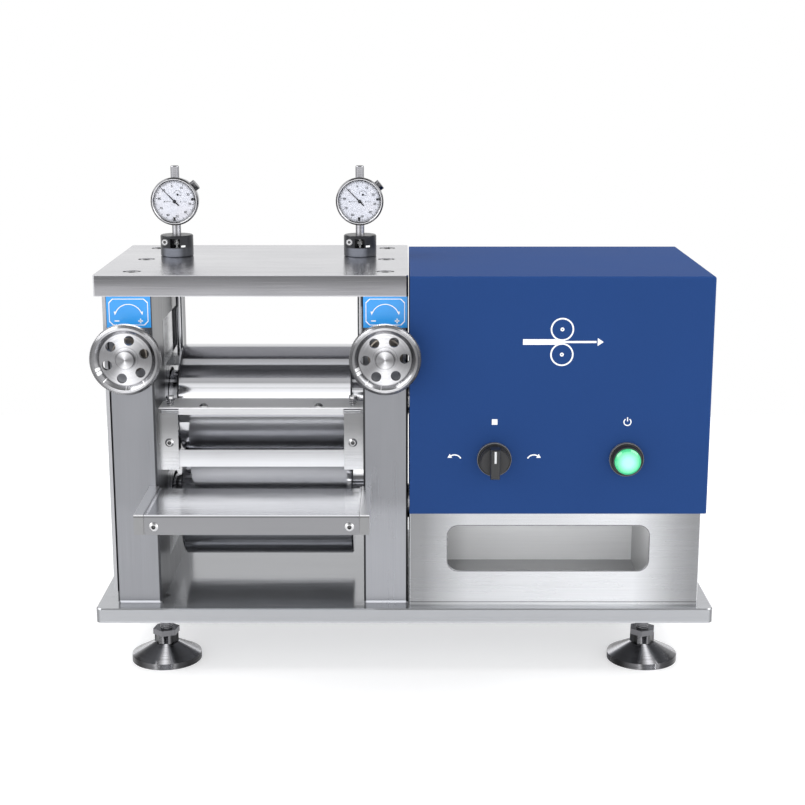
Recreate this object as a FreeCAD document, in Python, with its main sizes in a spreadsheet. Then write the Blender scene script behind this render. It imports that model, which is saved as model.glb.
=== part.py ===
import FreeCAD, Part
import math
import os
import re
import Sketcher

# Motor driven two-roll bench press: columns with sliding bearing blocks, wedge gap setting
# with two handwheels, dial gauges on the top plate, guides and tray in front of the rolls,
# and a cabinet with the gear motor and the controls over an open tool box.
# Millimetres. X to the right, Y to the back, Z up. The origin is on the floor, under the
# middle of the whole press with its tray. Depths below are counted from the middle of the
# base plate, and put() moves every piece back by the same MIDDLE.

Vector = FreeCAD.Vector
Rotation = FreeCAD.Rotation
doc = FreeCAD.newDocument("bench_rolling_press")
sheet = doc.addObject("Spreadsheet::Sheet", "sizes")

SIZES = [
    # base and feet
    ("base_long", 540), ("base_deep", 230), ("base_thick", 13), ("base_lift", 46),
    ("base_corner", 6), ("base_edge", 1),
    ("foot_side", 214), ("foot_front", 80), ("foot_radius", 31), ("foot_rim", 5.5),
    ("foot_cone_high", 10.5), ("foot_top_radius", 11), ("foot_hex_radius", 10.8),
    ("foot_hex_high", 8), ("stud_radius", 5), ("lock_nut_high", 5), ("lock_nut_radius", 12),
    # press frame
    ("mill_centre", -124.5), ("column_span", 178.2), ("column_wide", 38.5),
    ("column_deep", 204), ("column_high", 273.5), ("column_chamfer", 3), ("column_bevel", 1.6),
    ("window_deep", 88), ("window_low", 26), ("window_high", 217),
    ("plate_thick", 18), ("plate_left", 10.2), ("plate_right", 0.2), ("plate_corner", 2),
    ("cover_thick", 3), ("cover_low", 11), ("cover_inset", 0.5),
    ("cap_pitch", 79), ("cap_head_radius", 6.5), ("cap_head_high", 8),
    ("cap_shank_radius", 4), ("cap_shank_long", 36), ("cap_bore_radius", 7.5),
    ("cap_bore_deep", 8.5), ("base_shank_long", 22), ("under_pitch", 55),
    ("screw_clear", 0.1),
    ("sign_high", 26.5), ("sign_thick", 0.8), ("sign_edge", 0.6),
    # rolls, bearings and bearing blocks
    ("roll_radius", 49), ("roll_side", 11.1), ("roll_face", "column_span - 2 * roll_side"),
    ("roll_axis_high", 65), ("roll_gap", 1),
    ("roll_edge", 1.5), ("shoulder_radius", 25), ("journal_radius", 20),
    ("bearing_radius", 34), ("bearing_wide", 21), ("bearing_clear", 0.05),
    ("seal_step", 0.6), ("journal_play", 1), ("block_high", 78), ("block_clear", 0.1), ("block_mouth", 28),
    ("shaft_radius", 16), ("shaft_clear", 1.5), ("shaft_over", 1),
    # gears
    ("roll_module", 3.25), ("roll_teeth", 30), ("roll_gear_wide", 14), ("roll_gear_start", 2.9),
    ("bull_module", 2.5), ("bull_teeth", 40), ("pinion_teeth", 16), ("bull_wide", 10),
    ("bull_gap", 2), ("mesh_clear", 0.15), ("gear_hub_radius", 24), ("gear_web", 6),
    # gap setting
    ("wedge_long", 56), ("wedge_wide", 34), ("wedge_slope", 15), ("wedge_clear", 0.1),
    ("screw_high", 224), ("screw_radius", 6), ("screw_back", 40), ("running_clear", 0.05),
    ("bush_radius", 10), ("bush_flange_radius", 15), ("bush_flange", 6),
    ("wheel_radius", 29.6), ("wheel_thick", 7), ("wheel_gap", 0.1), ("wheel_hub_long", 14.7),
    ("wheel_hub_radius", 11), ("wheel_recess", 4), ("wheel_rim", 7.3), ("wheel_cone", 3.3),
    ("wheel_web", 4.5), ("wheel_boss_radius", 7.6), ("wheel_hole_radius", 4.2),
    ("wheel_hole_circle", 16.4), ("wheel_holes", 6),
    ("wheel_turn_left", 17.5), ("wheel_turn_right", 3), ("collar_wide", 2.9), ("collar_size", 9),
    ("wheel_face", 1.4),
    # dial gauges
    ("gauge_inset", 5.1), ("gauge_offset", "column_span / 2 - gauge_inset"), ("gauge_back", 25.5),
    ("gauge_high", 50.2), ("case_radius", 20.4), ("case_deep", 13), ("case_front", 4), ("stem_radius", 4),
    ("stem_drop", 32.6), ("cap_radius", 3.9), ("cap_high", 11.5), ("knob_radius", 4.8),
    ("knob_long", 3.4), ("bezel_radius", 21.5), ("bezel_deep", 5.5), ("bezel_lip", 2.6),
    ("bezel_clear", 0.1), ("dial_thick", 0.8), ("needle_long", 16.5), ("needle_tail", 5.5),
    ("needle_wide", 1), ("needle_thick", 0.4), ("needle_hub", 1.6), ("needle_turn", 45),
    ("plunger_radius", 1.4), ("tip_radius", 2.5), ("tip_high", 3.4), ("tip_clear", 0.1),
    ("holder_radius", 14.9), ("holder_high", 19.4), ("holder_cap", 2.6),
    ("holder_slot_wide", 9), ("holder_slot_low", 8.4), ("holder_bore", 4.5),
    ("clamp_radius", 2.8), ("clamp_high", 3), ("clamp_offset", 9.6), ("clamp_level", 13.6),
    ("rod_radius", 3), ("rod_top", 9.6), ("rod_hole", 3.5), ("lug_long", 15),
    ("lug_high", 9), ("lug_drop", 4), ("lug_reach", 10),
    # guides in front of the rolls
    ("guide_front", 87.5), ("guide_wide", 17), ("guide_low", 118.5), ("guide_high", 50.5),
    ("guide_deep", 31), ("guide_thick", 2.5), ("guide_top_deep", 18),
    ("guide_screw_inset", 9.4), ("guide_screw", "column_span / 2 - guide_screw_inset"),
    ("guide_screw_high", 24.5),
    ("lip_low", 120.5), ("lip_high", 15), ("feed_thick", 1.5), ("feed_reach", 24),
    ("feed_level", 115), ("feed_ear_high", 30), ("feed_ear_wide", 13), ("feed_gap", 0.1),
    ("bar_low", 167), ("bar_high", 5.7), ("bar_deep", 8), ("bar_front", 84.5),
    ("bar_end_gap", 0.5), ("pivot_high", "bar_low + bar_high / 2"), ("pivot_front", 80.5),
    ("pivot_radius", 1.5), ("ear_deep", 5), ("ear_high", 3.3), ("blade_thick", 1), ("blade_front", 86), ("blade_gap", 0.6),
    ("blade_side", 0.5), ("blade_hole", 2.3), ("blade_screw_at", 50), ("post_radius", 1.2),
    ("post_high", 13), ("post_front", 76), ("post_head_radius", 3.6), ("post_head_high", 2),
    ("spring_radius", 2.9), ("spring_wire", 0.4), ("spring_turns", 3), ("spring_base", 0.1),
    ("return_radius", 4.6), ("return_wire", 0.8), ("return_turns", 4), ("return_gap", 0.1),
    ("return_at", 31),
    # tray
    ("arm_inset", 1.1), ("arm_thick", 8), ("arm_low", 90.6), ("arm_high", 17), ("arm_reach", 85),
    ("tray_gap", 0.4), ("tray_rim", 1.6), ("tray_sheet", 1.5), ("tray_back", 2),
    ("cleat_long", 15), ("cleat_deep", 10), ("cleat_high", 11), ("tray_screw_high", 7),
    ("button_radius", 3.8), ("button_high", 2.2), ("button_shank", 2), ("button_long", 8),
    # cabinet
    ("box_gap", 1.4), ("box_left", "mill_centre + column_span / 2 + column_wide + box_gap"),
    ("box_long", 252), ("box_front", 109), ("box_deep", 201.5),
    ("box_high", 85), ("box_sheet", 1.5), ("hood_long", 256.8), ("hood_front", 109.5),
    ("hood_deep", 202.5), ("hood_high", 206.5), ("hood_sheet", 1.5), ("hood_gap", 0.2),
    ("hood_edge", 2), ("vent_long", 60), ("vent_high", 3), ("vent_side", 120),
    ("vent_low", 110), ("vent_pitch", 9), ("vent_count", 6), ("inlet_side", 50), ("inlet_up", 18),
    ("window_left", 33), ("window_long", 175), ("window_tall", 41),
    ("window_up", 33), ("window_round", 9.5), ("liner_gap", 0.5), ("liner_deep", 107.5),
    ("liner_sheet", 1.5), ("liner_lift", 5), ("liner_foot", 6), ("liner_foot_in", 3), ("liner_high", 72), ("liner_side", 1.5),
    ("deck_left", 31.5), ("deck_sheet", 2),
    # controls
    ("panel_level", 49), ("selector_at", 72.5), ("power_at", 185.8), ("bezel_ring", 14.6),
    ("bezel_proud", 3), ("collar_radius", 12.4), ("collar_proud", 9), ("device_radius", 11),
    ("device_long", 42), ("handle_wide", 8), ("handle_long", 26), ("handle_high", 12),
    ("handle_disc", 11.6), ("button_lens", 11.2), ("lens_proud", 13.5), ("lens_play", 3.5),
    ("control_clear", 0.3), ("inlet_wide", 28), ("inlet_high", 48), ("inlet_deep", 24),
    # motor
    ("gearhead_wide", 84), ("gearhead_long", 56), ("motor_radius", 40),
    ("motor_long", 92), ("fan_radius", 41), ("fan_long", 22), ("terminal_long", 44),
    ("terminal_wide", 40), ("terminal_high", 16), ("bracket_thick", 5),
    ("bracket_wide", 96), ("bracket_foot", 40), ("bracket_gap", 7), ("motor_hole", 16),
    ("motor_shaft", 7),
]
NAMES = {name for name, size in SIZES}


def fill_sheet():
    for row, (name, size) in enumerate(SIZES, 1):
        sheet.set("A%d" % row, name)
        sheet.set("B%d" % row, "=" + size if isinstance(size, str) else repr(size))
        sheet.setAlias("B%d" % row, name)
    doc.recompute()


def ex(text):
    """The expression with each size read from the sheet."""
    def word(found):
        return "sizes." + found.group() if found.group() in NAMES else found.group()
    return re.sub(r"[a-z][a-z_]+", word, str(text))


def value(text):
    return float(sheet.evalExpression(ex(text)))


fill_sheet()

# levels and lines that several pieces share
BASE_TOP = "(base_lift + base_thick)"
COLUMN_TOP = "(base_lift + base_thick + column_high)"
PLATE_TOP = "(base_lift + base_thick + column_high + plate_thick)"
LOW_AXIS = "(base_lift + base_thick + roll_axis_high)"
HIGH_AXIS = "(base_lift + base_thick + roll_axis_high + 2 * roll_radius + roll_gap)"
WINDOW_FLOOR = "(base_lift + base_thick + window_low)"
WINDOW_ROOF = "(base_lift + base_thick + window_low + window_high)"
SCREW_AXIS = "(base_lift + base_thick + screw_high)"
SPAN_HALF = "(column_span / 2)"
FACE = "(column_deep / 2)"
GAUGE_AXIS = "(%s + gauge_high)" % PLATE_TOP
BOX_TOP = "(base_lift + base_thick + box_high)"
DRIVE_AXIS = "(%s + bull_module * (bull_teeth + pinion_teeth) / 2 + mesh_clear)" % LOW_AXIS
COLUMN_OUT = "(mill_centre + column_span / 2 + column_wide)"
GEAR_START = "(%s + roll_gear_start)" % COLUMN_OUT
BULL_START = "(%s + roll_gear_wide + bull_gap)" % GEAR_START
MIDDLE = "((column_deep / 2 + arm_reach + button_high - base_deep / 2) / 2)"
SIDES = (("left", "-"), ("right", "+"))

TO_X = Rotation(Vector(0, 1, 0), 90)
TO_Y = Rotation(Vector(1, 0, 0), -90)
TO_FRONT = Rotation(Vector(1, 0, 0), 90)
UP = Rotation()


def put(item, x=0, y=0, z=0, turn=UP):
    back = "%s + %s" % (y, MIDDLE)
    item.Placement = FreeCAD.Placement(Vector(value(x), value(back), value(z)), turn)
    item.setExpression("Placement.Base.x", ex(x))
    item.setExpression("Placement.Base.y", ex(back))
    item.setExpression("Placement.Base.z", ex(z))
    return item


def bind(item, **sizes):
    for name, text in sizes.items():
        item.setExpression(name, ex(text))
    return item


def block(name, long, deep, high, x=0, y=0, z=0):
    """A box from its low corner."""
    item = doc.addObject("Part::Box", name)
    bind(item, Length=long, Width=deep, Height=high)
    return put(item, x, y, z)


def rod(name, radius, long, x=0, y=0, z=0, turn=UP):
    item = doc.addObject("Part::Cylinder", name)
    bind(item, Radius=radius, Height=long)
    return put(item, x, y, z, turn)


def cone(name, low, high, long, x=0, y=0, z=0, turn=UP):
    item = doc.addObject("Part::Cone", name)
    bind(item, Radius1=low, Radius2=high, Height=long)
    return put(item, x, y, z, turn)


def hexagon(name, radius, long, x=0, y=0, z=0, turn=UP):
    item = doc.addObject("Part::Prism", name)
    item.Polygon = 6
    bind(item, Circumradius=radius, Height=long)
    return put(item, x, y, z, turn)


def fuse(name, *items):
    item = doc.addObject("Part::MultiFuse", name)
    item.Shapes = list(items)
    item.Refine = True
    return item


def group(name, items):
    item = doc.addObject("Part::Compound", name)
    item.Links = list(items)
    return item


def cut(name, base, *tools):
    item = doc.addObject("Part::Cut", name)
    item.Base = base
    item.Tool = tools[0] if len(tools) == 1 else group(name + "_tools", tools)
    return item


def ease(name, base, radius, test, kind="Part::Fillet"):
    """Fillet or chamfer of the edges that the test picks."""
    doc.recompute()
    item = doc.addObject(kind, name)
    item.Base = base
    size = value(radius)
    edges = enumerate(base.Shape.Edges, 1)
    item.Edges = [(place, size, size) for place, edge in edges if test(edge)]
    return item


def upright(edge):
    way = edge.Vertexes[-1].Point - edge.Vertexes[0].Point
    return abs(way.x) < 1e-6 and abs(way.y) < 1e-6 and abs(way.z) > 1e-6


def origin_plane(body, role):
    return [plane for plane in body.Origin.OriginFeatures if plane.Role == role][0]


def outline(body, name, role, points):
    """A closed sketch whose corners are held by named sizes."""
    sketch = body.newObject("Sketcher::SketchObject", name)
    sketch.AttachmentSupport = [(origin_plane(body, role), "")]
    sketch.MapMode = "FlatFace"
    spots = [Vector(value(across), value(along), 0) for across, along in points]
    count = len(spots)
    for place in range(count):
        sketch.addGeometry(Part.LineSegment(spots[place], spots[(place + 1) % count]), False)
    for place in range(count):
        after = (place + 1) % count
        sketch.addConstraint(Sketcher.Constraint("Coincident", place, 2, after, 1))
    for place, (across, along) in enumerate(points):
        hold(sketch, "DistanceX", place, spots[place].x, across)
        hold(sketch, "DistanceY", place, spots[place].y, along)
    return sketch


def hold(sketch, kind, place, size, text, point=1):
    number = sketch.addConstraint(Sketcher.Constraint(kind, -1, 1, place, point, size))
    sketch.setExpression("Constraints[%d]" % number, ex(text))


def circles(body, name, role, spots):
    """A sketch of circles: each spot is across, along and radius."""
    sketch = body.newObject("Sketcher::SketchObject", name)
    sketch.AttachmentSupport = [(origin_plane(body, role), "")]
    sketch.MapMode = "FlatFace"
    for place, (across, along, radius) in enumerate(spots):
        centre = Vector(value(across), value(along), 0)
        ring = Part.Circle(centre, Vector(0, 0, 1), value(radius))
        sketch.addGeometry(ring, False)
        hold(sketch, "DistanceX", place, centre.x, across, 3)
        hold(sketch, "DistanceY", place, centre.y, along, 3)
        number = sketch.addConstraint(Sketcher.Constraint("Radius", place, value(radius)))
        sketch.setExpression("Constraints[%d]" % number, ex(radius))
    return sketch


def new_body(name):
    return doc.addObject("PartDesign::Body", name)


def pad(body, name, sketch, long, middle=False, back=False):
    item = body.newObject("PartDesign::Pad", name)
    item.Profile = sketch
    item.Midplane = middle
    item.Reversed = back
    return bind(item, Length=long)


def pocket(body, name, sketch, long, middle=True, back=False):
    item = body.newObject("PartDesign::Pocket", name)
    item.Profile = sketch
    item.Midplane = middle
    item.Reversed = back
    return bind(item, Length=long)


def turned(name, points, turn=UP, x=0, y=0, z=0):
    """A body revolved about the Z axis of its sketch, from radius and height pairs."""
    body = new_body(name)
    sketch = outline(body, name + "_profile", "XZ_Plane", points)
    item = body.newObject("PartDesign::Revolution", name + "_turned")
    item.Profile = sketch
    item.ReferenceAxis = (sketch, ["V_Axis"])
    item.Angle = 360
    put(body, x, y, z, turn)
    return body


def circle_pattern(body, name, feature, role, count):
    item = body.newObject("PartDesign::PolarPattern", name)
    item.Originals = [feature]
    axes = [axis for axis in body.Origin.OriginFeatures if axis.Role == role]
    item.Axis = (axes[0], [""])
    item.Angle = 360
    item.Occurrences = int(round(value(count)))
    body.Tip = item
    return item


def side_x(sign, away, wide="0"):
    """Low X of a piece that starts so far from the mill's middle on one side."""
    if sign == "+":
        return "mill_centre + %s" % away
    return "mill_centre - %s - %s" % (away, wide)


# ---------------------------------------------------------------- base and feet

def make_base():
    body = new_body("base_plate")
    half = ("base_long / 2", "base_deep / 2")
    corners = [("-%s" % half[0], "-%s" % half[1]), (half[0], "-%s" % half[1]),
               (half[0], half[1]), ("-%s" % half[0], half[1])]
    plate = pad(body, "base_pad", outline(body, "base_outline", "XY_Plane", corners), "base_thick")
    spots = []
    for across in ("foot_side", "-foot_side"):
        for along in ("foot_front", "-foot_front"):
            spots.append((across, along, "stud_radius + running_clear"))
    pocket(body, "base_stud_holes", circles(body, "stud_spots", "XY_Plane", spots), "4 * base_thick")
    screws = []
    for name, sign in SIDES:
        middle = "mill_centre %s (column_span + column_wide) / 2" % sign
        for along in ("under_pitch", "-under_pitch"):
            screws.append((middle, along, "cap_shank_radius + screw_clear"))
    pocket(body, "base_screw_holes", circles(body, "screw_spots", "XY_Plane", screws), "4 * base_thick")
    heads = [(across, along, "cap_bore_radius") for across, along, radius in screws]
    low = circles(body, "head_spots", "XY_Plane", heads)
    pocket(body, "base_head_bores", low, "cap_bore_deep", middle=False, back=True)
    doc.recompute()
    shape = body.Shape
    picks = []
    for place, edge in enumerate(shape.Edges, 1):
        if upright(edge) and abs(abs(edge.Vertexes[0].Point.x) - value(half[0])) < 1e-6:
            picks.append("Edge%d" % place)
    last = body.Tip
    round_corners = body.newObject("PartDesign::Fillet", "base_corners")
    round_corners.Base = (last, picks)
    round_corners.setExpression("Radius", ex("base_corner"))
    doc.recompute()
    top = max(face.CenterOfMass.z for face in body.Shape.Faces)
    edges = []
    for place, edge in enumerate(body.Shape.Edges, 1):
        box = edge.BoundBox
        outer = max(abs(box.XMin), abs(box.XMax)) > value(half[0]) - value("base_corner") - 1e-6 or \
            max(abs(box.YMin), abs(box.YMax)) > value(half[1]) - 1e-6
        if outer and box.ZMin > top - 1e-6:
            edges.append("Edge%d" % place)
    bevel = body.newObject("PartDesign::Chamfer", "base_bevel")
    bevel.Base = (round_corners, edges)
    bevel.setExpression("Size", ex("base_edge"))
    put(body, 0, 0, "base_lift")
    return body


def foot_spots():
    for across in ("-foot_side", "foot_side"):
        for along in ("-foot_front", "foot_front"):
            yield across, along


def make_feet():
    pads = []
    studs = []
    hex_low = "foot_rim + foot_cone_high"
    hex_top = "(foot_rim + foot_cone_high + foot_hex_high)"
    for number, (x, y) in enumerate(foot_spots()):
        rim = rod("foot_rim_%d" % number, "foot_radius", "foot_rim", x, y, 0)
        slope = cone("foot_cone_%d" % number, "foot_radius", "foot_top_radius",
                     "foot_cone_high", x, y, "foot_rim")
        nut = hexagon("foot_hex_%d" % number, "foot_hex_radius", "foot_hex_high", x, y, hex_low)
        pads.append(fuse("foot_pad_%d" % number, rim, slope, nut))
        stud = rod("foot_stud_%d" % number, "stud_radius",
                   "%s - %s" % (BASE_TOP, hex_top), x, y, hex_top)
        ring = hexagon("lock_hex_%d" % number, "lock_nut_radius", "lock_nut_high", x, y, hex_top,
                       Rotation(Vector(0, 0, 1), 20))
        hole = rod("lock_bore_%d" % number, "stud_radius + running_clear",
                   "3 * lock_nut_high", x, y, "%s - lock_nut_high" % hex_top)
        studs += [stud, cut("lock_nut_%d" % number, ring, hole)]
    return group("foot_pads", pads), group("foot_studs", studs)


# ---------------------------------------------------------------- press frame

def make_column(name, sign):
    body_x = side_x(sign, SPAN_HALF, "column_wide")
    middle = "mill_centre %s (column_span + column_wide) / 2" % sign
    block_top = "%s + cap_shank_long" % WINDOW_ROOF
    solid = block("column_block_" + name, "column_wide", "column_deep", "column_high",
                  body_x, "-column_deep / 2", BASE_TOP)
    sides = ease("column_bevel_" + name, solid, "column_bevel", front_upright, "Part::Chamfer")
    foot = ease("column_foot_" + name, sides, "column_chamfer",
                lambda edge: low_front(edge, value(BASE_TOP)), "Part::Chamfer")
    tools = [block("column_window_" + name, "3 * column_wide", "window_deep", "window_high",
                   "%s - column_wide" % body_x, "-window_deep / 2", WINDOW_FLOOR)]
    tools.append(rod("column_bore_" + name, "bush_radius + screw_clear", "column_deep / 2",
                     middle, "-column_deep / 2 - 1", SCREW_AXIS, TO_Y))
    for row in ("-cap_pitch", "0", "cap_pitch"):
        deep = "cap_shank_long - plate_thick + cap_bore_deep + 1"
        tools.append(rod("column_tap_%s_%s" % (name, len(tools)),
                         "cap_shank_radius + screw_clear", deep, middle, row,
                         "%s - (%s)" % (COLUMN_TOP, deep)))
    for row in ("-under_pitch", "under_pitch"):
        tools.append(rod("column_foot_tap_%s_%s" % (name, len(tools)),
                         "cap_shank_radius + screw_clear", "base_shank_long", middle, row,
                         "%s - 1" % BASE_TOP))
    return cut("column_" + name, foot, *tools)


def front_upright(edge):
    front = value("%s - column_deep / 2" % MIDDLE)
    return upright(edge) and edge.BoundBox.YMax < front + 1e-6


def low_front(edge, level):
    box = edge.BoundBox
    front = value("%s - column_deep / 2" % MIDDLE)
    return abs(box.ZMax - level) < 1e-6 and abs(box.YMax - front) < 1e-6


def make_cover():
    return block("side_cover", "cover_thick", "column_deep - 2 * cover_inset",
                 "column_high - cover_low", "mill_centre - column_span / 2 - column_wide - cover_thick",
                 "-column_deep / 2 + cover_inset", "%s + cover_low" % BASE_TOP)


def make_top_plate():
    long = "column_span + 2 * column_wide + plate_left + plate_right"
    x = "mill_centre - column_span / 2 - column_wide - plate_left"
    slab = block("top_slab", long, "column_deep", "plate_thick", x, "-column_deep / 2", COLUMN_TOP)
    slab = ease("top_slab_round", slab, "plate_corner", upright)
    tools = []
    for name, sign in SIDES:
        middle = "mill_centre %s (column_span + column_wide) / 2" % sign
        for row in ("-cap_pitch", "0", "cap_pitch"):
            number = len(tools)
            tools.append(rod("top_bore_%d" % number, "cap_bore_radius", "cap_bore_deep + 1",
                             middle, row, "%s - cap_bore_deep" % PLATE_TOP))
            tools.append(rod("top_hole_%d" % number, "cap_shank_radius + screw_clear",
                             "plate_thick", middle, row, "%s - 1" % COLUMN_TOP))
        tools.append(rod("top_gauge_hole_" + name, "rod_hole", "3 * plate_thick",
                         "mill_centre %s gauge_offset" % sign, "gauge_back",
                         "%s - plate_thick" % COLUMN_TOP))
    joined = fuse("top_holes", *tools)
    return cut("top_plate", slab, joined)


def cap_screw(label, x, y, z, head_up, long):
    """A socket head screw; z is the seat under its head."""
    if head_up:
        head = rod(label + "_head", "cap_head_radius", "cap_head_high", x, y, z)
        shank = rod(label + "_shank", "cap_shank_radius", "%s + 1" % long, x, y,
                    "%s - %s" % (z, long))
        key = hexagon(label + "_key", "cap_head_radius * 0.53", "cap_head_high", x, y,
                      "%s + cap_head_high * 0.45" % z)
    else:
        head = rod(label + "_head", "cap_head_radius", "cap_head_high", x, y,
                   "%s - cap_head_high" % z)
        shank = rod(label + "_shank", "cap_shank_radius", "%s + 1" % long, x, y, "%s - 1" % z)
        key = hexagon(label + "_key", "cap_head_radius * 0.53", "cap_head_high", x, y,
                      "%s - cap_head_high * 1.45" % z)
    return cut(label, fuse(label + "_body", head, shank), key)


def make_frame_screws():
    screws = []
    for name, sign in SIDES:
        middle = "mill_centre %s (column_span + column_wide) / 2" % sign
        for row in ("-cap_pitch", "0", "cap_pitch"):
            seat = "(%s - cap_bore_deep)" % PLATE_TOP
            screws.append(cap_screw("top_screw_%s_%d" % (name, len(screws)), middle, row, seat,
                                    True, "(cap_shank_long - plate_thick + cap_bore_deep)"))
        for row in ("-under_pitch", "under_pitch"):
            screws.append(cap_screw("base_screw_%s_%d" % (name, len(screws)), middle, row,
                                    "(base_lift + cap_bore_deep)", False, "base_shank_long"))
    return group("cap_screws", screws)


def make_signs():
    plates = []
    for name, sign in SIDES:
        x = side_x(sign, "(column_span / 2 + sign_edge)", "(column_wide - 2 * sign_edge)")
        plates.append(block("sign_" + name, "column_wide - 2 * sign_edge", "sign_thick",
                            "sign_high", x, "-column_deep / 2 - sign_thick",
                            "%s - sign_high" % COLUMN_TOP))
    return group("direction_plates", plates)


# ---------------------------------------------------------------- rolls and bearings

def roll_points(end):
    """Half section of a roll: radius and place along the axis from the mill's middle."""
    face = "roll_face / 2"
    seat = "(column_span / 2 + (column_wide - bearing_wide) / 2)"
    far = "(%s + bearing_wide + journal_play / 2)" % seat
    points = [("0", "-%s" % far), ("journal_radius", "-%s" % far)]
    points += [("journal_radius", "-%s" % seat), ("shoulder_radius", "-%s" % seat)]
    points += [("shoulder_radius", "-%s" % face), ("roll_radius - roll_edge", "-%s" % face)]
    points += [("roll_radius", "-%s + roll_edge" % face), ("roll_radius", "%s - roll_edge" % face)]
    points += [("roll_radius - roll_edge", face), ("shoulder_radius", face)]
    points += [("shoulder_radius", seat), ("journal_radius", seat)]
    points += [("journal_radius", far), ("shaft_radius", far)]
    points += [("shaft_radius", end), ("0", end)]
    return points


def make_rolls():
    low_end = "%s + bull_wide + shaft_over - mill_centre" % BULL_START
    high_end = "%s + roll_gear_wide + shaft_over - mill_centre" % GEAR_START
    low = turned("lower_roll", roll_points(low_end), TO_X, "mill_centre", 0, LOW_AXIS)
    high = turned("upper_roll", roll_points(high_end), TO_X, "mill_centre", 0, HIGH_AXIS)
    return low, high


def bearing(label, x, z):
    """A sealed bearing about an axis along X, with a step between its rings."""
    ring = rod(label + "_ring", "bearing_radius", "bearing_wide", x, 0, z, TO_X)
    bore = rod(label + "_bore", "journal_radius + bearing_clear", "3 * bearing_wide",
               "%s - bearing_wide" % x, 0, z, TO_X)
    tools = [bore]
    for place, start in enumerate(("%s - 1" % x, "%s + bearing_wide - seal_step" % x)):
        outer = rod("%s_seal_%d" % (label, place), "bearing_radius - 4", "1 + seal_step",
                    start, 0, z, TO_X)
        inner = rod("%s_race_%d" % (label, place), "journal_radius + 4", "3 + seal_step",
                    "%s - 1" % start, 0, z, TO_X)
        tools.append(cut("%s_groove_%d" % (label, place), outer, inner))
    return cut(label, ring, *tools)


def bearing_block(label, name, sign, z, sloped):
    """A block that fills the column's window, bored for its bearing."""
    x = side_x(sign, SPAN_HALF, "column_wide")
    body = new_body(label + "_blank")
    wide = "(window_deep / 2 - block_clear)"
    half = "block_high / 2"
    rise = "%s / wedge_slope" % wide if sloped else "0"
    points = [("-%s" % wide, "-%s" % half), (wide, "-%s" % half),
              (wide, "%s + %s" % (half, rise)), ("-%s" % wide, "%s - %s" % (half, rise))]
    pad(body, label + "_pad", outline(body, label + "_outline", "YZ_Plane", points), "column_wide")
    put(body, x, 0, z)
    seat = side_x(sign, "(column_span / 2 + (column_wide - bearing_wide) / 2)", "bearing_wide")
    tools = [rod(label + "_seat", "bearing_radius", "bearing_wide", seat, 0, z, TO_X)]
    mouth = side_x(sign, "(column_span / 2 - 1)", "(1 + column_wide / 2)")
    tools.append(rod(label + "_mouth", "block_mouth", "1 + column_wide / 2", mouth, 0, z, TO_X))
    tools.append(rod(label + "_relief", "journal_radius + shaft_clear",
                     "bearing_wide + 2 * journal_play", "%s - journal_play" % seat, 0, z, TO_X))
    if sign == "+":
        tools.append(rod(label + "_exit", "shaft_radius + shaft_clear", "2 * column_wide",
                         x, 0, z, TO_X))
    base = body
    if sloped:
        lug_x = side_x(sign, "(gauge_offset - lug_reach / 2)", "lug_reach")
        lug = block(label + "_lug", "lug_reach", "lug_long", "lug_high", lug_x,
                    "gauge_back - lug_long / 2", "%s + block_high / 2 - lug_drop - lug_high" % z)
        base = fuse(label + "_whole", body, lug)
        tools.append(rod(label + "_rod_seat", "rod_radius + running_clear", "lug_high",
                         "mill_centre %s gauge_offset" % sign, "gauge_back",
                         "%s + block_high / 2 - lug_drop - lug_high / 2" % z))
    return cut(label, base, fuse(label + "_cuts", *tools))


def make_blocks():
    parts = {"lower_blocks": [], "lower_bearings": [], "upper_blocks": [], "upper_bearings": []}
    for name, sign in SIDES:
        seat = side_x(sign, "(column_span / 2 + (column_wide - bearing_wide) / 2)", "bearing_wide")
        low = "(%s + block_high / 2)" % WINDOW_FLOOR
        parts["lower_blocks"].append(bearing_block("lower_block_" + name, name, sign, low, False))
        parts["lower_bearings"].append(bearing("lower_bearing_" + name, seat, LOW_AXIS))
        parts["upper_blocks"].append(
            bearing_block("upper_block_" + name, name, sign, HIGH_AXIS, True))
        parts["upper_bearings"].append(bearing("upper_bearing_" + name, seat, HIGH_AXIS))
    return [group(name, items) for name, items in parts.items()]


# ---------------------------------------------------------------- gears

def gear_outline(module, teeth, thin):
    """Corner points of an involute spur gear, tooth centred on the first axis."""
    pitch = module * teeth / 2
    base = pitch * math.cos(math.radians(20))
    tip = pitch + module
    root = pitch - 1.25 * module
    start = max(base, root + 0.1)

    def roll_angle(radius):
        turn = math.sqrt(max((radius / base) ** 2 - 1, 0))
        return turn - math.atan(turn)

    half = math.pi / (2 * teeth) - thin / pitch + roll_angle(pitch)
    steps = [start + (tip - start) * part for part in (0, 0.4, 0.75, 1)]
    flank = [(radius, half - roll_angle(radius)) for radius in steps]
    points = []
    for tooth in range(teeth):
        middle = 2 * math.pi * tooth / teeth
        side = [(root, -flank[0][1])] + [(radius, -angle) for radius, angle in flank]
        side += [(radius, angle) for radius, angle in reversed(flank)] + [(root, flank[0][1])]
        for radius, angle in side:
            points.append((radius * math.cos(middle + angle), radius * math.sin(middle + angle)))
    return points


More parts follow.
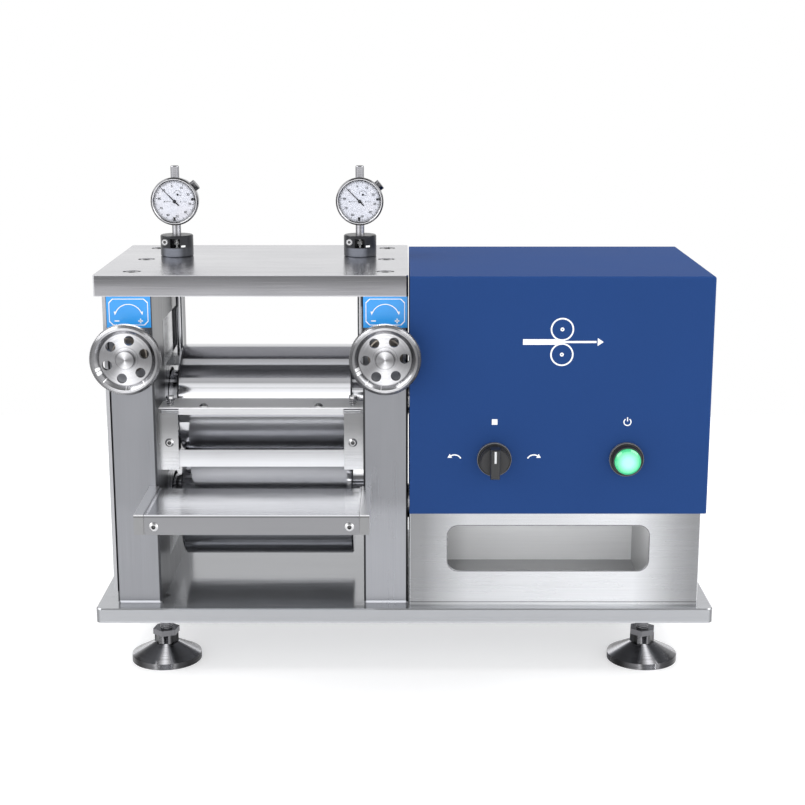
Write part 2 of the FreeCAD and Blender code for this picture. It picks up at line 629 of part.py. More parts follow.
def gear(name, module, teeth, wide, bore, x, z, phase, hub=None):
    """A spur gear about an axis along X; the phase is in tooth pitches."""
    count = int(round(value(teeth)))
    points = gear_outline(value(module), count, 0.05)
    flat = [Vector(0, across, along) for across, along in points]
    wire = Part.makePolygon(flat + flat[:1])
    solid = Part.Face(wire).extrude(Vector(value(wide), 0, 0))
    hole = Part.makeCylinder(value(bore), value(wide) + 2, Vector(-1, 0, 0), Vector(1, 0, 0))
    solid = solid.cut(hole)
    if hub:
        outer, inner, deep = [value(text) for text in hub]
        ring = Part.makeCylinder(outer, deep + 1, Vector(-1, 0, 0), Vector(1, 0, 0))
        core = Part.makeCylinder(inner, deep + 3, Vector(-2, 0, 0), Vector(1, 0, 0))
        solid = solid.cut(ring.cut(core))
    item = doc.addObject("Part::Feature", name)
    item.Shape = solid
    turn = Rotation(Vector(1, 0, 0), 90 + phase * 360.0 / count)
    return put(item, x, 0, z, turn)


def make_gears():
    bore = "shaft_radius + running_clear / 2"
    recess = ("roll_module * roll_teeth / 2 - 8", "gear_hub_radius", "(roll_gear_wide - gear_web)")
    gear("drive_gear_lower", "roll_module", "roll_teeth", "roll_gear_wide", bore,
         GEAR_START, LOW_AXIS, 0, recess)
    gear("drive_gear_upper", "roll_module", "roll_teeth", "roll_gear_wide", bore,
         GEAR_START, HIGH_AXIS, 0.5, recess)
    gear("bull_gear", "bull_module", "bull_teeth", "bull_wide", bore, BULL_START, LOW_AXIS, 0)


def make_pinion():
    """Motor shaft with the pinion cut on it."""
    wheel = gear("pinion_teeth_ring", "bull_module", "pinion_teeth", "bull_wide",
                 "motor_shaft - 1", BULL_START, DRIVE_AXIS, 0.5)
    start = "%s - shaft_over" % BULL_START
    long = "bull_wide + bracket_gap + bracket_thick + shaft_over + motor_hole - 1"
    shaft = rod("pinion_shaft", "motor_shaft", long, start, 0, DRIVE_AXIS, TO_X)
    return fuse("motor_pinion", wheel, shaft)


# ---------------------------------------------------------------- gap setting

def make_wedge(name, sign):
    body = new_body("wedge_blank_" + name)
    half = "wedge_long / 2"
    foot = "%s + block_high / 2 + wedge_clear" % HIGH_AXIS
    points = [("-%s" % half, "%s - %s / wedge_slope" % (foot, half)),
              (half, "%s + %s / wedge_slope" % (foot, half)),
              (half, "%s - wedge_clear" % WINDOW_ROOF),
              ("-%s" % half, "%s - wedge_clear" % WINDOW_ROOF)]
    sketch = outline(body, "wedge_outline_" + name, "YZ_Plane", points)
    pad(body, "wedge_pad_" + name, sketch, "wedge_wide", middle=True)
    middle = "mill_centre %s (column_span + column_wide) / 2" % sign
    put(body, middle, 0, 0)
    bore = rod("wedge_bore_" + name, "screw_radius + running_clear", "2 * wedge_long",
               middle, "-wedge_long", SCREW_AXIS, TO_Y)
    return cut("wedge_" + name, body, bore)


def make_screw(name, sign):
    """Lead screw with its thrust collar inside the column's window."""
    middle = "mill_centre %s (column_span + column_wide) / 2" % sign
    front = "(-column_deep / 2 - bush_flange - wheel_gap - wheel_hub_long - wheel_thick + wheel_face)"
    collar = "(-window_deep / 2 - 1 + running_clear)"
    points = [("0", front), ("screw_radius", front),
              ("screw_radius", collar), ("collar_size", collar),
              ("collar_size", "%s + collar_wide" % collar),
              ("screw_radius", "%s + collar_wide" % collar),
              ("screw_radius", "screw_back - 1"), ("screw_radius - 1", "screw_back"),
              ("0", "screw_back")]
    return turned("lead_screw_" + name, points, TO_Y, middle, 0, SCREW_AXIS)


def make_bushes():
    bushes = []
    for name, sign in SIDES:
        middle = "mill_centre %s (column_span + column_wide) / 2" % sign
        bore = "screw_radius + running_clear"
        front = "-column_deep / 2 - bush_flange"
        points = [(bore, front), ("bush_flange_radius - 1", front),
                  ("bush_flange_radius", "%s + 1" % front),
                  ("bush_flange_radius", "-column_deep / 2"),
                  ("bush_radius", "-column_deep / 2"), ("bush_radius", "-window_deep / 2 - 1"),
                  (bore, "-window_deep / 2 - 1")]
        bushes.append(turned("screw_bush_" + name, points, TO_Y, middle, 0, SCREW_AXIS))
    return group("screw_bushes", bushes)


def make_handwheel(name, sign):
    """Handwheel about an axis along Y: dished face, six holes and a knurled rim."""
    middle = "mill_centre %s (column_span + column_wide) / 2" % sign
    hub = "-column_deep / 2 - bush_flange - wheel_gap"
    back = "(%s - wheel_hub_long)" % hub
    front = "(%s - wheel_hub_long - wheel_thick)" % hub
    rim = "wheel_radius - wheel_rim"
    bore = "screw_radius + running_clear / 2"
    face = "(%s + wheel_recess)" % front
    points = [(bore, hub), (bore, "%s + wheel_face" % front)]
    points += [("0", "%s + wheel_face" % front), ("0", front)]
    points += [("wheel_boss_radius", front), ("wheel_boss_radius + 0.6", face)]
    points += [(rim, face), ("%s + wheel_cone" % rim, "%s + 0.4" % front)]
    points += [("wheel_radius - 2.2", front), ("wheel_radius", "%s + 2.2" % front)]
    points += [("wheel_radius", "%s - 1.5" % back), ("wheel_radius - 1.5", back)]
    points += [("%s + wheel_cone" % rim, back), (rim, "%s + wheel_web" % face)]
    points += [("wheel_hub_radius", "%s + wheel_web" % face), ("wheel_hub_radius", hub)]
    wheel = turned("handwheel_" + name, points, TO_Y, middle, 0, SCREW_AXIS)
    spot = [("wheel_hole_circle * cos(wheel_turn_%s)" % name,
             "-wheel_hole_circle * sin(wheel_turn_%s)" % name, "wheel_hole_radius")]
    sketch = circles(wheel, "wheel_hole_spot_" + name, "XY_Plane", spot)
    hole = pocket(wheel, "wheel_hole_" + name, sketch, "2 * column_deep")
    doc.recompute()
    circle_pattern(wheel, "wheel_hole_ring_" + name, hole, "Z_Axis", "wheel_holes")
    return wheel


# ---------------------------------------------------------------- dial gauges

def make_gauges():
    holders, clamps, cases, rods = [], [], [], []
    for name, sign in SIDES:
        x = "(mill_centre %s gauge_offset)" % sign
        holders.append(make_holder(name, x))
        clamps.append(make_clamp(name, x))
        cases.append(make_case(name, x))
        rods.append(make_rod(name, x))
        make_bezel(name, x)
        make_needle(name, x)
        make_plunger(name, x)
    group("gauge_holders", holders)
    group("gauge_clamp_screws", clamps)
    group("gauge_cases", cases)
    group("gauge_rods", rods)


def make_holder(name, x):
    """Round gauge post with a front window onto the contact point."""
    drum = rod("holder_drum_" + name, "holder_radius", "holder_high", x, "gauge_back", PLATE_TOP)
    drum = ease("holder_round_" + name, drum, "0.8", lambda edge: edge.Length > value("holder_radius"), "Part::Chamfer")
    stem = rod("holder_stem_" + name, "stem_radius + running_clear", "2 * holder_cap", x,
               "gauge_back", "%s + holder_high - holder_cap" % PLATE_TOP)
    slot_high = "holder_high - holder_cap - holder_slot_low"
    slot = block("holder_slot_" + name, "holder_slot_wide", "holder_radius + holder_bore",
                 slot_high, "%s - holder_slot_wide / 2" % x,
                 "gauge_back - holder_radius", "%s + holder_slot_low" % PLATE_TOP)
    bore = rod("holder_bore_" + name, "rod_hole", "holder_slot_low + 2", x, "gauge_back",
               "%s - 1" % PLATE_TOP)
    room = rod("holder_room_" + name, "holder_bore", slot_high, x, "gauge_back",
               "%s + holder_slot_low" % PLATE_TOP)
    screw = rod("holder_screw_hole_" + name, "button_shank", "holder_radius",
                "%s - clamp_offset" % x, "gauge_back - holder_radius",
                "%s + clamp_level" % PLATE_TOP, TO_Y)
    seat = rod("holder_seat_" + name, "clamp_radius + 0.4", "holder_radius",
               "%s - clamp_offset" % x, "gauge_back - 1.6 * holder_radius",
               "%s + clamp_level" % PLATE_TOP, TO_Y)
    tools = fuse("holder_cuts_" + name, stem, slot, bore, room, screw, seat)
    return cut("holder_" + name, drum, tools)


def make_clamp(name, x):
    y = "gauge_back - 0.6 * holder_radius"
    z = "%s + clamp_level" % PLATE_TOP
    spot = "%s - clamp_offset" % x
    head = rod("clamp_head_" + name, "clamp_radius", "clamp_high", spot,
               "%s - clamp_high" % y, z, TO_Y)
    shank = rod("clamp_shank_" + name, "button_shank - screw_clear", "5", spot,
                "%s - 1" % y, z, TO_Y)
    key = hexagon("clamp_key_" + name, "clamp_radius * 0.5", "2", spot,
                  "%s - clamp_high - 0.5" % y, z, TO_Y)
    return cut("clamp_" + name, fuse("clamp_body_" + name, head, shank), key)


def make_case(name, x):
    """Gauge case with stem, dust cap and the knob that locks the bezel."""
    drum = rod("case_drum_" + name, "case_radius", "case_deep", x,
               "gauge_back - case_front", GAUGE_AXIS, TO_Y)
    stem = rod("case_stem_" + name, "stem_radius", "stem_drop - case_radius + 4", x, "gauge_back",
               "%s - stem_drop" % GAUGE_AXIS)
    cap = rod("case_cap_" + name, "cap_radius", "cap_high + 2", x, "gauge_back",
              "%s + case_radius - 2" % GAUGE_AXIS)
    cap = ease("case_cap_round_" + name, cap, "1.4", lambda edge: high_ring(edge))
    boss = rod("case_boss_" + name, "case_radius - 3", "2.5", x,
               "gauge_back - case_front - 2.5", GAUGE_AXIS, TO_Y)
    turn = Rotation(Vector(0, 1, 0), 52)
    knob = rod("case_knob_" + name, "knob_radius", "knob_long + 2", 0, 0, 0)
    reach = "(case_radius - 1.5)"
    put(knob, "%s + %s * sin(52)" % (x, reach), "gauge_back + 1.5",
        "%s + %s * cos(52)" % (GAUGE_AXIS, reach), turn)
    bore = rod("case_bore_" + name, "plunger_radius + running_clear", "2 * stem_drop", x,
               "gauge_back", "%s - stem_drop - 1 - stem_drop * 0.6" % GAUGE_AXIS)
    return cut("case_" + name, fuse("case_body_" + name, drum, stem, cap, boss, knob), bore)


def high_ring(edge):
    box = edge.BoundBox
    return box.ZMax - box.ZMin < 1e-6 and box.ZMin > value(GAUGE_AXIS) + value("case_radius")


def make_bezel(name, x):
    """Turning bezel with the dial that it carries."""
    front = "-(case_front + bezel_deep)"
    back = "-case_front - bezel_clear"
    seat = "case_radius - 3 + bezel_clear"
    dial = "(-case_front - 2.5 - bezel_clear)"
    points = [(seat, back), (seat, dial), ("bezel_radius - bezel_lip", dial),
              ("bezel_radius - bezel_lip", "%s + 0.8" % front),
              ("bezel_radius - bezel_lip + 0.8", front), ("bezel_radius - 1", front),
              ("bezel_radius", "%s + 1" % front), ("bezel_radius", back)]
    turned("gauge_bezel_" + name, points, TO_Y, x, "gauge_back", GAUGE_AXIS)
    disc = rod("dial_disc_" + name, "bezel_radius - bezel_lip", "dial_thick", x,
               "gauge_back - case_front - 2.5 - bezel_clear - dial_thick", GAUGE_AXIS, TO_Y)
    hole = rod("dial_hole_" + name, "needle_hub * 0.6 + 0.3", "6", x,
               "gauge_back - case_front - 6", GAUGE_AXIS, TO_Y)
    cut("gauge_dial_" + name, disc, hole)


def make_needle(name, x):
    body = new_body("needle_blank_" + name)
    long, wide = "needle_long", "needle_wide / 2"
    points = [("-%s" % wide, "-needle_tail"), (wide, "-needle_tail"),
              (wide, "0"), ("%s * 0.3" % wide, long), ("-%s * 0.3" % wide, long),
              ("-%s" % wide, "0")]
    sketch = outline(body, "needle_outline_" + name, "XY_Plane", points)
    pad(body, "needle_pad_" + name, sketch, "needle_thick")
    front = "gauge_back - case_front - 2.5 - bezel_clear - dial_thick - 0.3"
    turn = Rotation(Vector(0, 1, 0), -value("needle_turn")).multiply(TO_FRONT)
    put(body, x, front, GAUGE_AXIS, turn)
    hub = rod("needle_hub_" + name, "needle_hub", "needle_thick + 0.3", x,
              "%s - needle_thick - 0.3" % front, GAUGE_AXIS, TO_Y)
    pin = rod("needle_pin_" + name, "needle_hub * 0.6", "dial_thick + 0.3 + bezel_clear / 2", x, front,
              GAUGE_AXIS, TO_Y)
    fuse("gauge_needle_" + name, body, hub, pin)


def make_plunger(name, x):
    low = "%s + rod_top + tip_clear" % PLATE_TOP
    points = [("0", "0"), ("tip_radius - 1", "0"), ("tip_radius", "0.8"),
              ("tip_radius", "tip_high"), ("plunger_radius", "tip_high"),
              ("plunger_radius", "stem_drop * 0.6"), ("0", "stem_drop * 0.6")]
    turned("gauge_plunger_" + name, points, UP, x, "gauge_back", low)


def make_rod(name, x):
    low = "%s + block_high / 2 - lug_drop - lug_high / 2 + 0.2" % HIGH_AXIS
    return rod("gauge_rod_" + name, "rod_radius", "%s + rod_top - (%s)" % (PLATE_TOP, low), x,
               "gauge_back", low)


# ---------------------------------------------------------------- guides

def make_guides():
    brackets, posts, springs = [], [], []
    for name, sign in SIDES:
        brackets.append(make_bracket(name, sign))
        posts.append(make_post(name, sign))
        springs.append(make_spring(name, sign))
    group("guide_brackets", brackets)
    group("scraper_posts", posts)
    group("scraper_springs", springs)


def make_bracket(name, sign):
    """Bent bracket on a column's inner face: front, side and top leaves."""
    z = "%s + guide_low" % BASE_TOP
    x = side_x(sign, "(column_span / 2 - guide_wide)", "guide_wide")
    flank = side_x(sign, "(column_span / 2 - guide_thick)", "guide_thick")
    front = block("bracket_front_" + name, "guide_wide", "guide_thick", "guide_high", x,
                  "-guide_front", z)
    side = block("bracket_side_" + name, "guide_thick", "guide_deep", "guide_high", flank,
                 "-guide_front", z)
    top = block("bracket_top_" + name, "guide_wide", "guide_top_deep", "guide_thick", x,
                "-guide_front", "%s + guide_high - guide_thick" % z)
    ear = block("bracket_ear_" + name, "guide_thick", "ear_deep", "ear_high + 1", flank,
                "-pivot_front - ear_deep / 2", "%s + guide_high - 1" % z)
    body = fuse("bracket_body_" + name, front, side, top, ear)
    spot = "mill_centre %s guide_screw" % sign
    hole = rod("bracket_hole_" + name, "button_shank + screw_clear", "4 * guide_thick", spot,
               "-guide_front - guide_thick", "%s + guide_screw_high" % z, TO_Y)
    pivot = rod("bracket_pivot_" + name, "pivot_radius + running_clear", "guide_wide + 2",
                side_x(sign, "(column_span / 2 - guide_wide - 1)", "(guide_wide + 2)"),
                "-pivot_front", "%s + pivot_high" % BASE_TOP, TO_X)
    return cut("bracket_" + name, body, hole, pivot)


def make_post(name, sign):
    low = "(%s + guide_low + guide_high)" % BASE_TOP
    points = [("0", "0"), ("post_radius", "0"), ("post_radius", "post_high - post_head_high"),
              ("post_head_radius", "post_high - post_head_high"),
              ("post_head_radius", "post_high"), ("0", "post_high")]
    x = "mill_centre %s guide_screw" % sign
    return turned("scraper_post_" + name, points, UP, x, "-post_front", low)


def coil(label, radius, wire, turns, tall):
    """A wound spring of flat facets, standing on its own origin between its end planes."""
    rise = tall - 2 * wire
    steps = int(round(10 * turns))
    rings = []
    for step in range(steps + 1):
        around = 2 * math.pi * step / 10
        level = rise * step / steps
        rings.append([coil_point(radius, wire, around, level, side) for side in range(5)])
    corners = []
    for low, high in zip(rings, rings[1:]):
        for side in range(5):
            after = (side + 1) % 5
            corners.append((low[side], high[side], high[after]))
            corners.append((low[side], high[after], low[after]))
    faces = [Part.Face(Part.makePolygon([a, b, c, a])) for a, b, c in corners]
    for ring in (rings[0], rings[-1]):
        faces.append(Part.Face(Part.makePolygon(ring + ring[:1])))
    item = doc.addObject("Part::Feature", label)
    item.Shape = Part.Solid(Part.makeShell(faces))
    return item


def coil_point(radius, wire, around, level, side):
    tilt = 2 * math.pi * side / 5 + math.pi / 2
    reach = radius + wire * math.cos(tilt)
    return Vector(reach * math.cos(around), reach * math.sin(around),
                  level + wire * math.sin(tilt))


def make_spring(name, sign):
    """Small spring between the post's head and the blade."""
    low = "%s + bar_low + bar_high + blade_thick + spring_base" % BASE_TOP
    high = "%s + guide_low + guide_high + post_high - post_head_high" % BASE_TOP
    tall = value("%s - (%s)" % (high, low))
    item = coil("scraper_spring_" + name, value("spring_radius"), value("spring_wire"),
                value("spring_turns"), tall)
    return put(item, "mill_centre %s guide_screw" % sign, "-post_front", low + " + spring_wire")


def make_return_springs():
    """Springs on the lower blocks that hold the upper ones up against the wedges."""
    low = "%s + block_high" % WINDOW_FLOOR
    tall = value("%s - block_high / 2 - (%s) - return_gap" % (HIGH_AXIS, low))
    items = []
    for name, sign in SIDES:
        middle = "mill_centre %s (column_span + column_wide) / 2" % sign
        for row in ("-return_at", "return_at"):
            item = coil("return_spring_%s_%d" % (name, len(items)), value("return_radius"),
                        value("return_wire"), value("return_turns"), tall)
            items.append(put(item, middle, row, low + " + return_wire"))
    return group("return_springs", items)


def make_feed_plate():
    """Sheet that leads stock down to the nip, with a deep front lip and two ears."""
    body = new_body("feed_sheet")
    front = "(guide_front - guide_thick - feed_gap)"
    low = "(%s + lip_low)" % BASE_TOP
    high = "(%s + lip_high)" % low
    tip = "(%s + feed_level)" % BASE_TOP
    points = [("-%s" % front, low), ("-%s + feed_thick" % front, low),
              ("-%s + feed_thick" % front, "%s - feed_thick" % high),
              ("-feed_reach", "%s - feed_thick" % tip), ("-feed_reach", tip),
              ("-%s + feed_thick" % front, high), ("-%s" % front, high)]
    sketch = outline(body, "feed_outline", "YZ_Plane", points)
    pad(body, "feed_pad", sketch, "2 * (column_span / 2 - guide_wide) - 2 * bar_end_gap", True)
    put(body, "mill_centre", 0, 0)
    strip = block("feed_strip", "column_span - 2 * guide_thick - 2 * bar_end_gap", "feed_thick",
                  "lip_high", "mill_centre - column_span / 2 + guide_thick + bar_end_gap",
                  "-%s" % front, low)
    items = [body, strip]
    holes = []
    for name, sign in SIDES:
        x = side_x(sign, "(guide_screw - feed_ear_wide / 2)", "feed_ear_wide")
        items.append(block("feed_ear_" + name, "feed_ear_wide - 1", "feed_thick",
                           "feed_ear_high", x + " + 0.5", "-%s" % front, low))
        holes.append(rod("feed_hole_" + name, "button_shank + screw_clear", "10",
                         "mill_centre %s guide_screw" % sign, "-%s - 4" % front,
                         "%s + guide_low + guide_screw_high" % BASE_TOP, TO_Y))
    return cut("feed_plate", fuse("feed_body", *items), *holes)


def make_scraper():
    low = "%s + bar_low" % BASE_TOP
    half = "(column_span / 2 - guide_wide - bar_end_gap)"
    bar = block("scraper_bar_block", "2 * %s" % half, "bar_deep", "bar_high",
                "mill_centre - %s" % half, "-bar_front", low)
    pin_half = "(column_span / 2 - 0.4)"
    pin = rod("scraper_pin", "pivot_radius", "2 * %s" % pin_half, "mill_centre - %s" % pin_half,
              "-pivot_front", "%s + pivot_high" % BASE_TOP, TO_X)
    whole = fuse("scraper_bar_body", bar, pin)
    taps = []
    for name, sign in SIDES:
        taps.append(rod("scraper_tap_" + name, "button_shank + screw_clear", "7",
                        "mill_centre %s blade_screw_at" % sign, "-pivot_front",
                        "%s + bar_high - 6" % low))
    cut("scraper_bar", whole, *taps)
    make_blade()


def make_blade():
    level = "%s + bar_low + bar_high" % BASE_TOP
    lift = value("%s - %s" % (level, HIGH_AXIS))
    front = "-sqrt(roll_radius ^ 2 - (%s - %s) ^ 2) - blade_gap" % (level, HIGH_AXIS)
    wide = "(column_span - 2 * blade_side)"
    plate = block("blade_sheet", wide, "blade_front + (%s)" % front, "blade_thick",
                  "mill_centre - %s / 2" % wide, "-blade_front", level)
    holes = []
    screws = []
    for name, sign in SIDES:
        holes.append(rod("blade_post_hole_" + name, "blade_hole", "5",
                         "mill_centre %s guide_screw" % sign, "-post_front", "%s - 2" % level))
        spot = "mill_centre %s blade_screw_at" % sign
        holes.append(rod("blade_screw_hole_" + name, "button_shank + screw_clear", "5", spot,
                         "-pivot_front", "%s - 2" % level))
        holes.append(side_relief(name, sign, level))
        screws.append(button("blade_screw_" + name, spot, "-pivot_front",
                             "(%s + blade_thick)" % level, UP, "5.5"))
    group("blade_screws", screws)
    return cut("scraper_blade", plate, *holes)


def side_relief(name, sign, level):
    """Corner of the blade that stays clear of the gauge rods' side and the roll's end."""
    x = side_x(sign, "(roll_face / 2 + 1)", "(column_span / 2)")
    return block("blade_relief_" + name, "column_span / 2", "40", "5", x, "-60", "%s - 2" % level)


def button(label, x, y, z, turn, long="button_long"):
    """A button head screw; the seat under its head is at the given point."""
    points = [("0", "-(%s)" % long), ("button_shank", "-(%s)" % long), ("button_shank", "0"),
              ("button_radius", "0"), ("button_radius", "button_high * 0.35"),
              ("button_radius * 0.62", "button_high"), ("0", "button_high")]
    body = turned(label + "_turned", points, turn, x, y, z)
    sketch = hex_sketch(body, label)
    pocket(body, label + "_key", sketch, "button_high * 1.1")
    return body


def hex_sketch(body, label):
    sketch = body.newObject("Sketcher::SketchObject", label + "_hex")
    sketch.AttachmentSupport = [(origin_plane(body, "XY_Plane"), "")]
    sketch.MapMode = "FlatFace"
    sketch.AttachmentOffset = FreeCAD.Placement(Vector(0, 0, value("button_high")), Rotation())
    sketch.setExpression("AttachmentOffset.Base.z", ex("button_high"))
    radius = value("button_radius") * 0.36
    spots = []
    for step in range(6):
        angle = math.radians(60 * step)
        spots.append(Vector(radius * math.cos(angle), radius * math.sin(angle), 0))
    for step in range(6):
        sketch.addGeometry(Part.LineSegment(spots[step], spots[(step + 1) % 6]), False)
    for step in range(6):
        sketch.addConstraint(Sketcher.Constraint("Coincident", step, 2, (step + 1) % 6, 1))
    return sketch


# ---------------------------------------------------------------- tray

def make_tray():
    low = "%s + arm_low" % BASE_TOP
    front = "(-column_deep / 2 - arm_reach)"
    arms = []
    for name, sign in SIDES:
        x = side_x(sign, "(column_span / 2 - arm_inset)", "arm_thick")
        arm = block("arm_bar_" + name, "arm_thick", "arm_reach", "arm_high", x, front, low)
        cleat_x = side_x(sign, "(column_span / 2 - arm_inset - cleat_long)", "(cleat_long + 1)")
        cleat = block("arm_cleat_" + name, "cleat_long + 1", "cleat_deep", "cleat_high",
                      cleat_x, "%s + tray_sheet + tray_gap / 2" % front, "%s + 1" % low)
        tap = rod("arm_tap_" + name, "button_shank + screw_clear", "12",
                  "mill_centre %s guide_screw" % sign, "%s - 1" % front,
                  "%s + tray_screw_high" % low, TO_Y)
        arms.append(cut("tray_arm_" + name, fuse("arm_body_" + name, arm, cleat), tap))
    group("tray_arms", arms)
    make_pan(low, front)


def make_pan(low, front):
    """Shallow tray: a sunk floor, a low rim and a deep front lip."""
    wide = "(column_span - 2 * arm_inset - 2 * tray_gap)"
    x = "mill_centre - column_span / 2 + arm_inset + tray_gap"
    deep = "(arm_reach - tray_back)"
    floor = "(%s + arm_high - tray_rim - tray_sheet)" % low
    pan = block("tray_slab", wide, deep, "tray_sheet + tray_rim", x, front, floor)
    sink = block("tray_sink", "%s - 2 * tray_sheet" % wide, "%s - tray_sheet" % deep,
                 "2 * tray_rim", x + " + tray_sheet", "%s + tray_sheet" % front,
                 "%s + tray_sheet" % floor)
    lip = block("tray_lip", wide, "tray_sheet", "arm_high", x, front, low)
    back = block("tray_turndown", wide, "tray_sheet", "arm_high / 2", x,
                 "%s + %s - tray_sheet" % (front, deep), "%s + arm_high / 2 - tray_rim" % low)
    body = fuse("tray_body", cut("tray_floor", pan, sink), lip, back)
    holes = []
    for name, sign in SIDES:
        holes.append(rod("tray_hole_" + name, "button_shank + screw_clear", "6",
                         "mill_centre %s guide_screw" % sign, "%s - 2" % front,
                         "%s + tray_screw_high" % low, TO_Y))
    return cut("tray", body, *holes)


def make_buttons():
    """All the equal button head screws that face the front."""
    screws = []
    for name, sign in SIDES:
        x = "mill_centre %s guide_screw" % sign
        screws.append(button("guide_button_" + name, x, "-guide_front",
                             "%s + guide_low + guide_screw_high" % BASE_TOP, TO_FRONT))
        screws.append(button("tray_button_" + name, x, "-column_deep / 2 - arm_reach",
                             "%s + arm_low + tray_screw_high" % BASE_TOP, TO_FRONT))
    return group("button_screws", screws)


# ---------------------------------------------------------------- cabinet

def shell(name, long, deep, high, x, y, z, sheet_size, open_low, open_left, open_top):
    """Thin walled box with some of its sides left open."""
    outer = block(name + "_outer", long, deep, high, x, y, z)
    left = "-1" if open_left else sheet_size
    low = "-1" if open_low else sheet_size
    high_cut = "1" if open_top else "-%s" % sheet_size
    inner = block(name + "_inner", "%s - (%s) - %s" % (long, left, sheet_size),
                  "%s - 2 * %s" % (deep, sheet_size),
                  "%s - (%s) + (%s)" % (high, low, high_cut),
                  "%s + (%s)" % (x, left), "%s + %s" % (y, sheet_size), "%s + (%s)" % (z, low))
    return outer, inner


def make_tool_box():
    """Lower housing of bent sheet, open to the left and above, with a long front window."""
    outer, inner = shell("tool_shell", "box_long", "box_deep", "box_high", "box_left",
                         "-box_front", BASE_TOP, "box_sheet", True, True, True)
    outer = ease("tool_round", outer, "1", upright)
    tools = [inner, window_tool()]
    return cut("tool_box", outer, fuse("tool_cuts", *tools))


def window_tool():
    hole = block("window_block", "window_long", "20", "window_tall", "box_left + window_left",
                 "-box_front - 10", "%s + window_up" % BASE_TOP)
    return ease("window_round_block", hole, "window_round", along_y)


def along_y(edge):
    way = edge.Vertexes[-1].Point - edge.Vertexes[0].Point
    return abs(way.x) < 1e-6 and abs(way.z) < 1e-6


def make_liner():
    """Open fronted tool compartment behind the window."""
    long = "(window_long + 2 * liner_side + 2 * liner_sheet)"
    x = "box_left + window_left - liner_side - liner_sheet"
    y = "-box_front + box_sheet + liner_gap"
    z = "%s + liner_lift" % BASE_TOP
    outer = block("liner_outer", long, "liner_deep + liner_sheet", "liner_high", x, y, z)
    inner = block("liner_inner", "%s - 2 * liner_sheet" % long, "liner_deep + 1",
                  "liner_high", "%s + liner_sheet" % x, "%s - 1" % y, "%s + liner_sheet" % z)
    body = cut("liner_body", outer, inner)
    feet = [body]
    for place, along in enumerate(("liner_foot_in", "liner_deep - liner_foot_in - liner_foot")):
        feet.append(block("liner_foot_%d" % place, "%s - 4 * liner_foot_in" % long, "liner_foot",
                          "liner_lift + liner_sheet / 3", "%s + 2 * liner_foot_in" % x,
                          "%s + %s" % (y, along), BASE_TOP))
    return fuse("tool_tray", *feet)


def make_deck():
    """Shelf on the tool box that carries the motor; cut away beside the gears."""
    long = "(box_long - deck_left - box_sheet - hood_gap)"
    x = "box_left + deck_left"
    deep = "(box_deep - 2 * box_sheet - 2 * hood_gap)"
    y = "-box_front + box_sheet + hood_gap"
    top = block("deck_top", long, deep, "deck_sheet", x, y, "%s - deck_sheet" % BOX_TOP)
    back = block("deck_leg", long, "deck_sheet", "box_high", x,
                 "%s + %s - deck_sheet" % (y, deep), BASE_TOP)
    right = block("deck_side", "deck_sheet", deep, "12", "%s + %s - deck_sheet" % (x, long), y,
                  "%s - 12" % BOX_TOP)
    front = block("deck_front", long, "deck_sheet", "7", x, y, "%s - 7" % BOX_TOP)
    return fuse("cabinet_deck", top, back, right, front)


def make_hood():
    """Sheet hood, open below and towards the rolls."""
    outer, inner = shell("hood_shell", "hood_long", "hood_deep", "hood_high", "box_left",
                         "-hood_front", BOX_TOP, "hood_sheet", True, True, False)
    outer = ease("hood_round", outer, "hood_edge", hood_edge)
    tools = [inner]
    for place, across in enumerate(("selector_at", "power_at")):
        tools.append(rod("hood_hole_%d" % place, "device_radius + screw_clear", "8",
                         "box_left + %s" % across, "-hood_front - 3",
                         "%s + panel_level" % BOX_TOP, TO_Y))
    tools.append(block("hood_inlet_hole", "inlet_wide", "4 * hood_sheet", "inlet_high",
                       "box_left + hood_long - inlet_side", "hood_deep - hood_front - 3 * hood_sheet",
                       "%s + inlet_up" % BOX_TOP))
    for row in range(int(value("vent_count"))):
        tools.append(block("hood_vent_%d" % row, "vent_long", "4 * hood_sheet", "vent_high",
                           "box_left + hood_long - vent_side", "hood_deep - hood_front - 3 * hood_sheet",
                           "%s + vent_low + %d * vent_pitch" % (BOX_TOP, row)))
    return cut("control_hood", outer, fuse("hood_cuts", *tools))


def hood_edge(edge):
    """Outer edges of the hood, apart from those around its open sides."""
    box = edge.BoundBox
    on_left = box.XMax < value("box_left") + 1e-6
    on_low = box.ZMax < value(BOX_TOP) + 1e-6
    return not on_left and not on_low


def make_inlet():
    """Mains inlet with fuse drawer on the back of the hood."""
    x = "box_left + hood_long - inlet_side"
    y = "hood_deep - hood_front"
    z = "(%s + inlet_up)" % BOX_TOP
    flange = block("inlet_flange", "inlet_wide + 8", "2", "inlet_high + 8", x + " - 4", y,
                   "%s - 4" % z)
    body = block("inlet_body", "inlet_wide - 0.4", "inlet_deep", "inlet_high - 0.4", x + " + 0.2",
                 "%s - inlet_deep + 1" % y, "%s + 0.2" % z)
    hole = block("inlet_socket", "inlet_wide - 6", "16", "19", x + " + 3", "%s - 12" % y,
                 "%s + 24" % z)
    pins = []
    for place, (across, up) in enumerate((("0", "12"), ("-7", "5"), ("7", "5"))):
        pins.append(block("inlet_pin_%d" % place, "2", "11", "4",
                          "%s + inlet_wide / 2 - 1 + %s" % (x, across), "%s - 12.5" % y,
                          "%s + 24 + %s - 2" % (z, up)))
    body = cut("inlet_cup", fuse("inlet_whole", flange, body), hole)
    return fuse("power_inlet", body, *pins)


# ---------------------------------------------------------------- controls

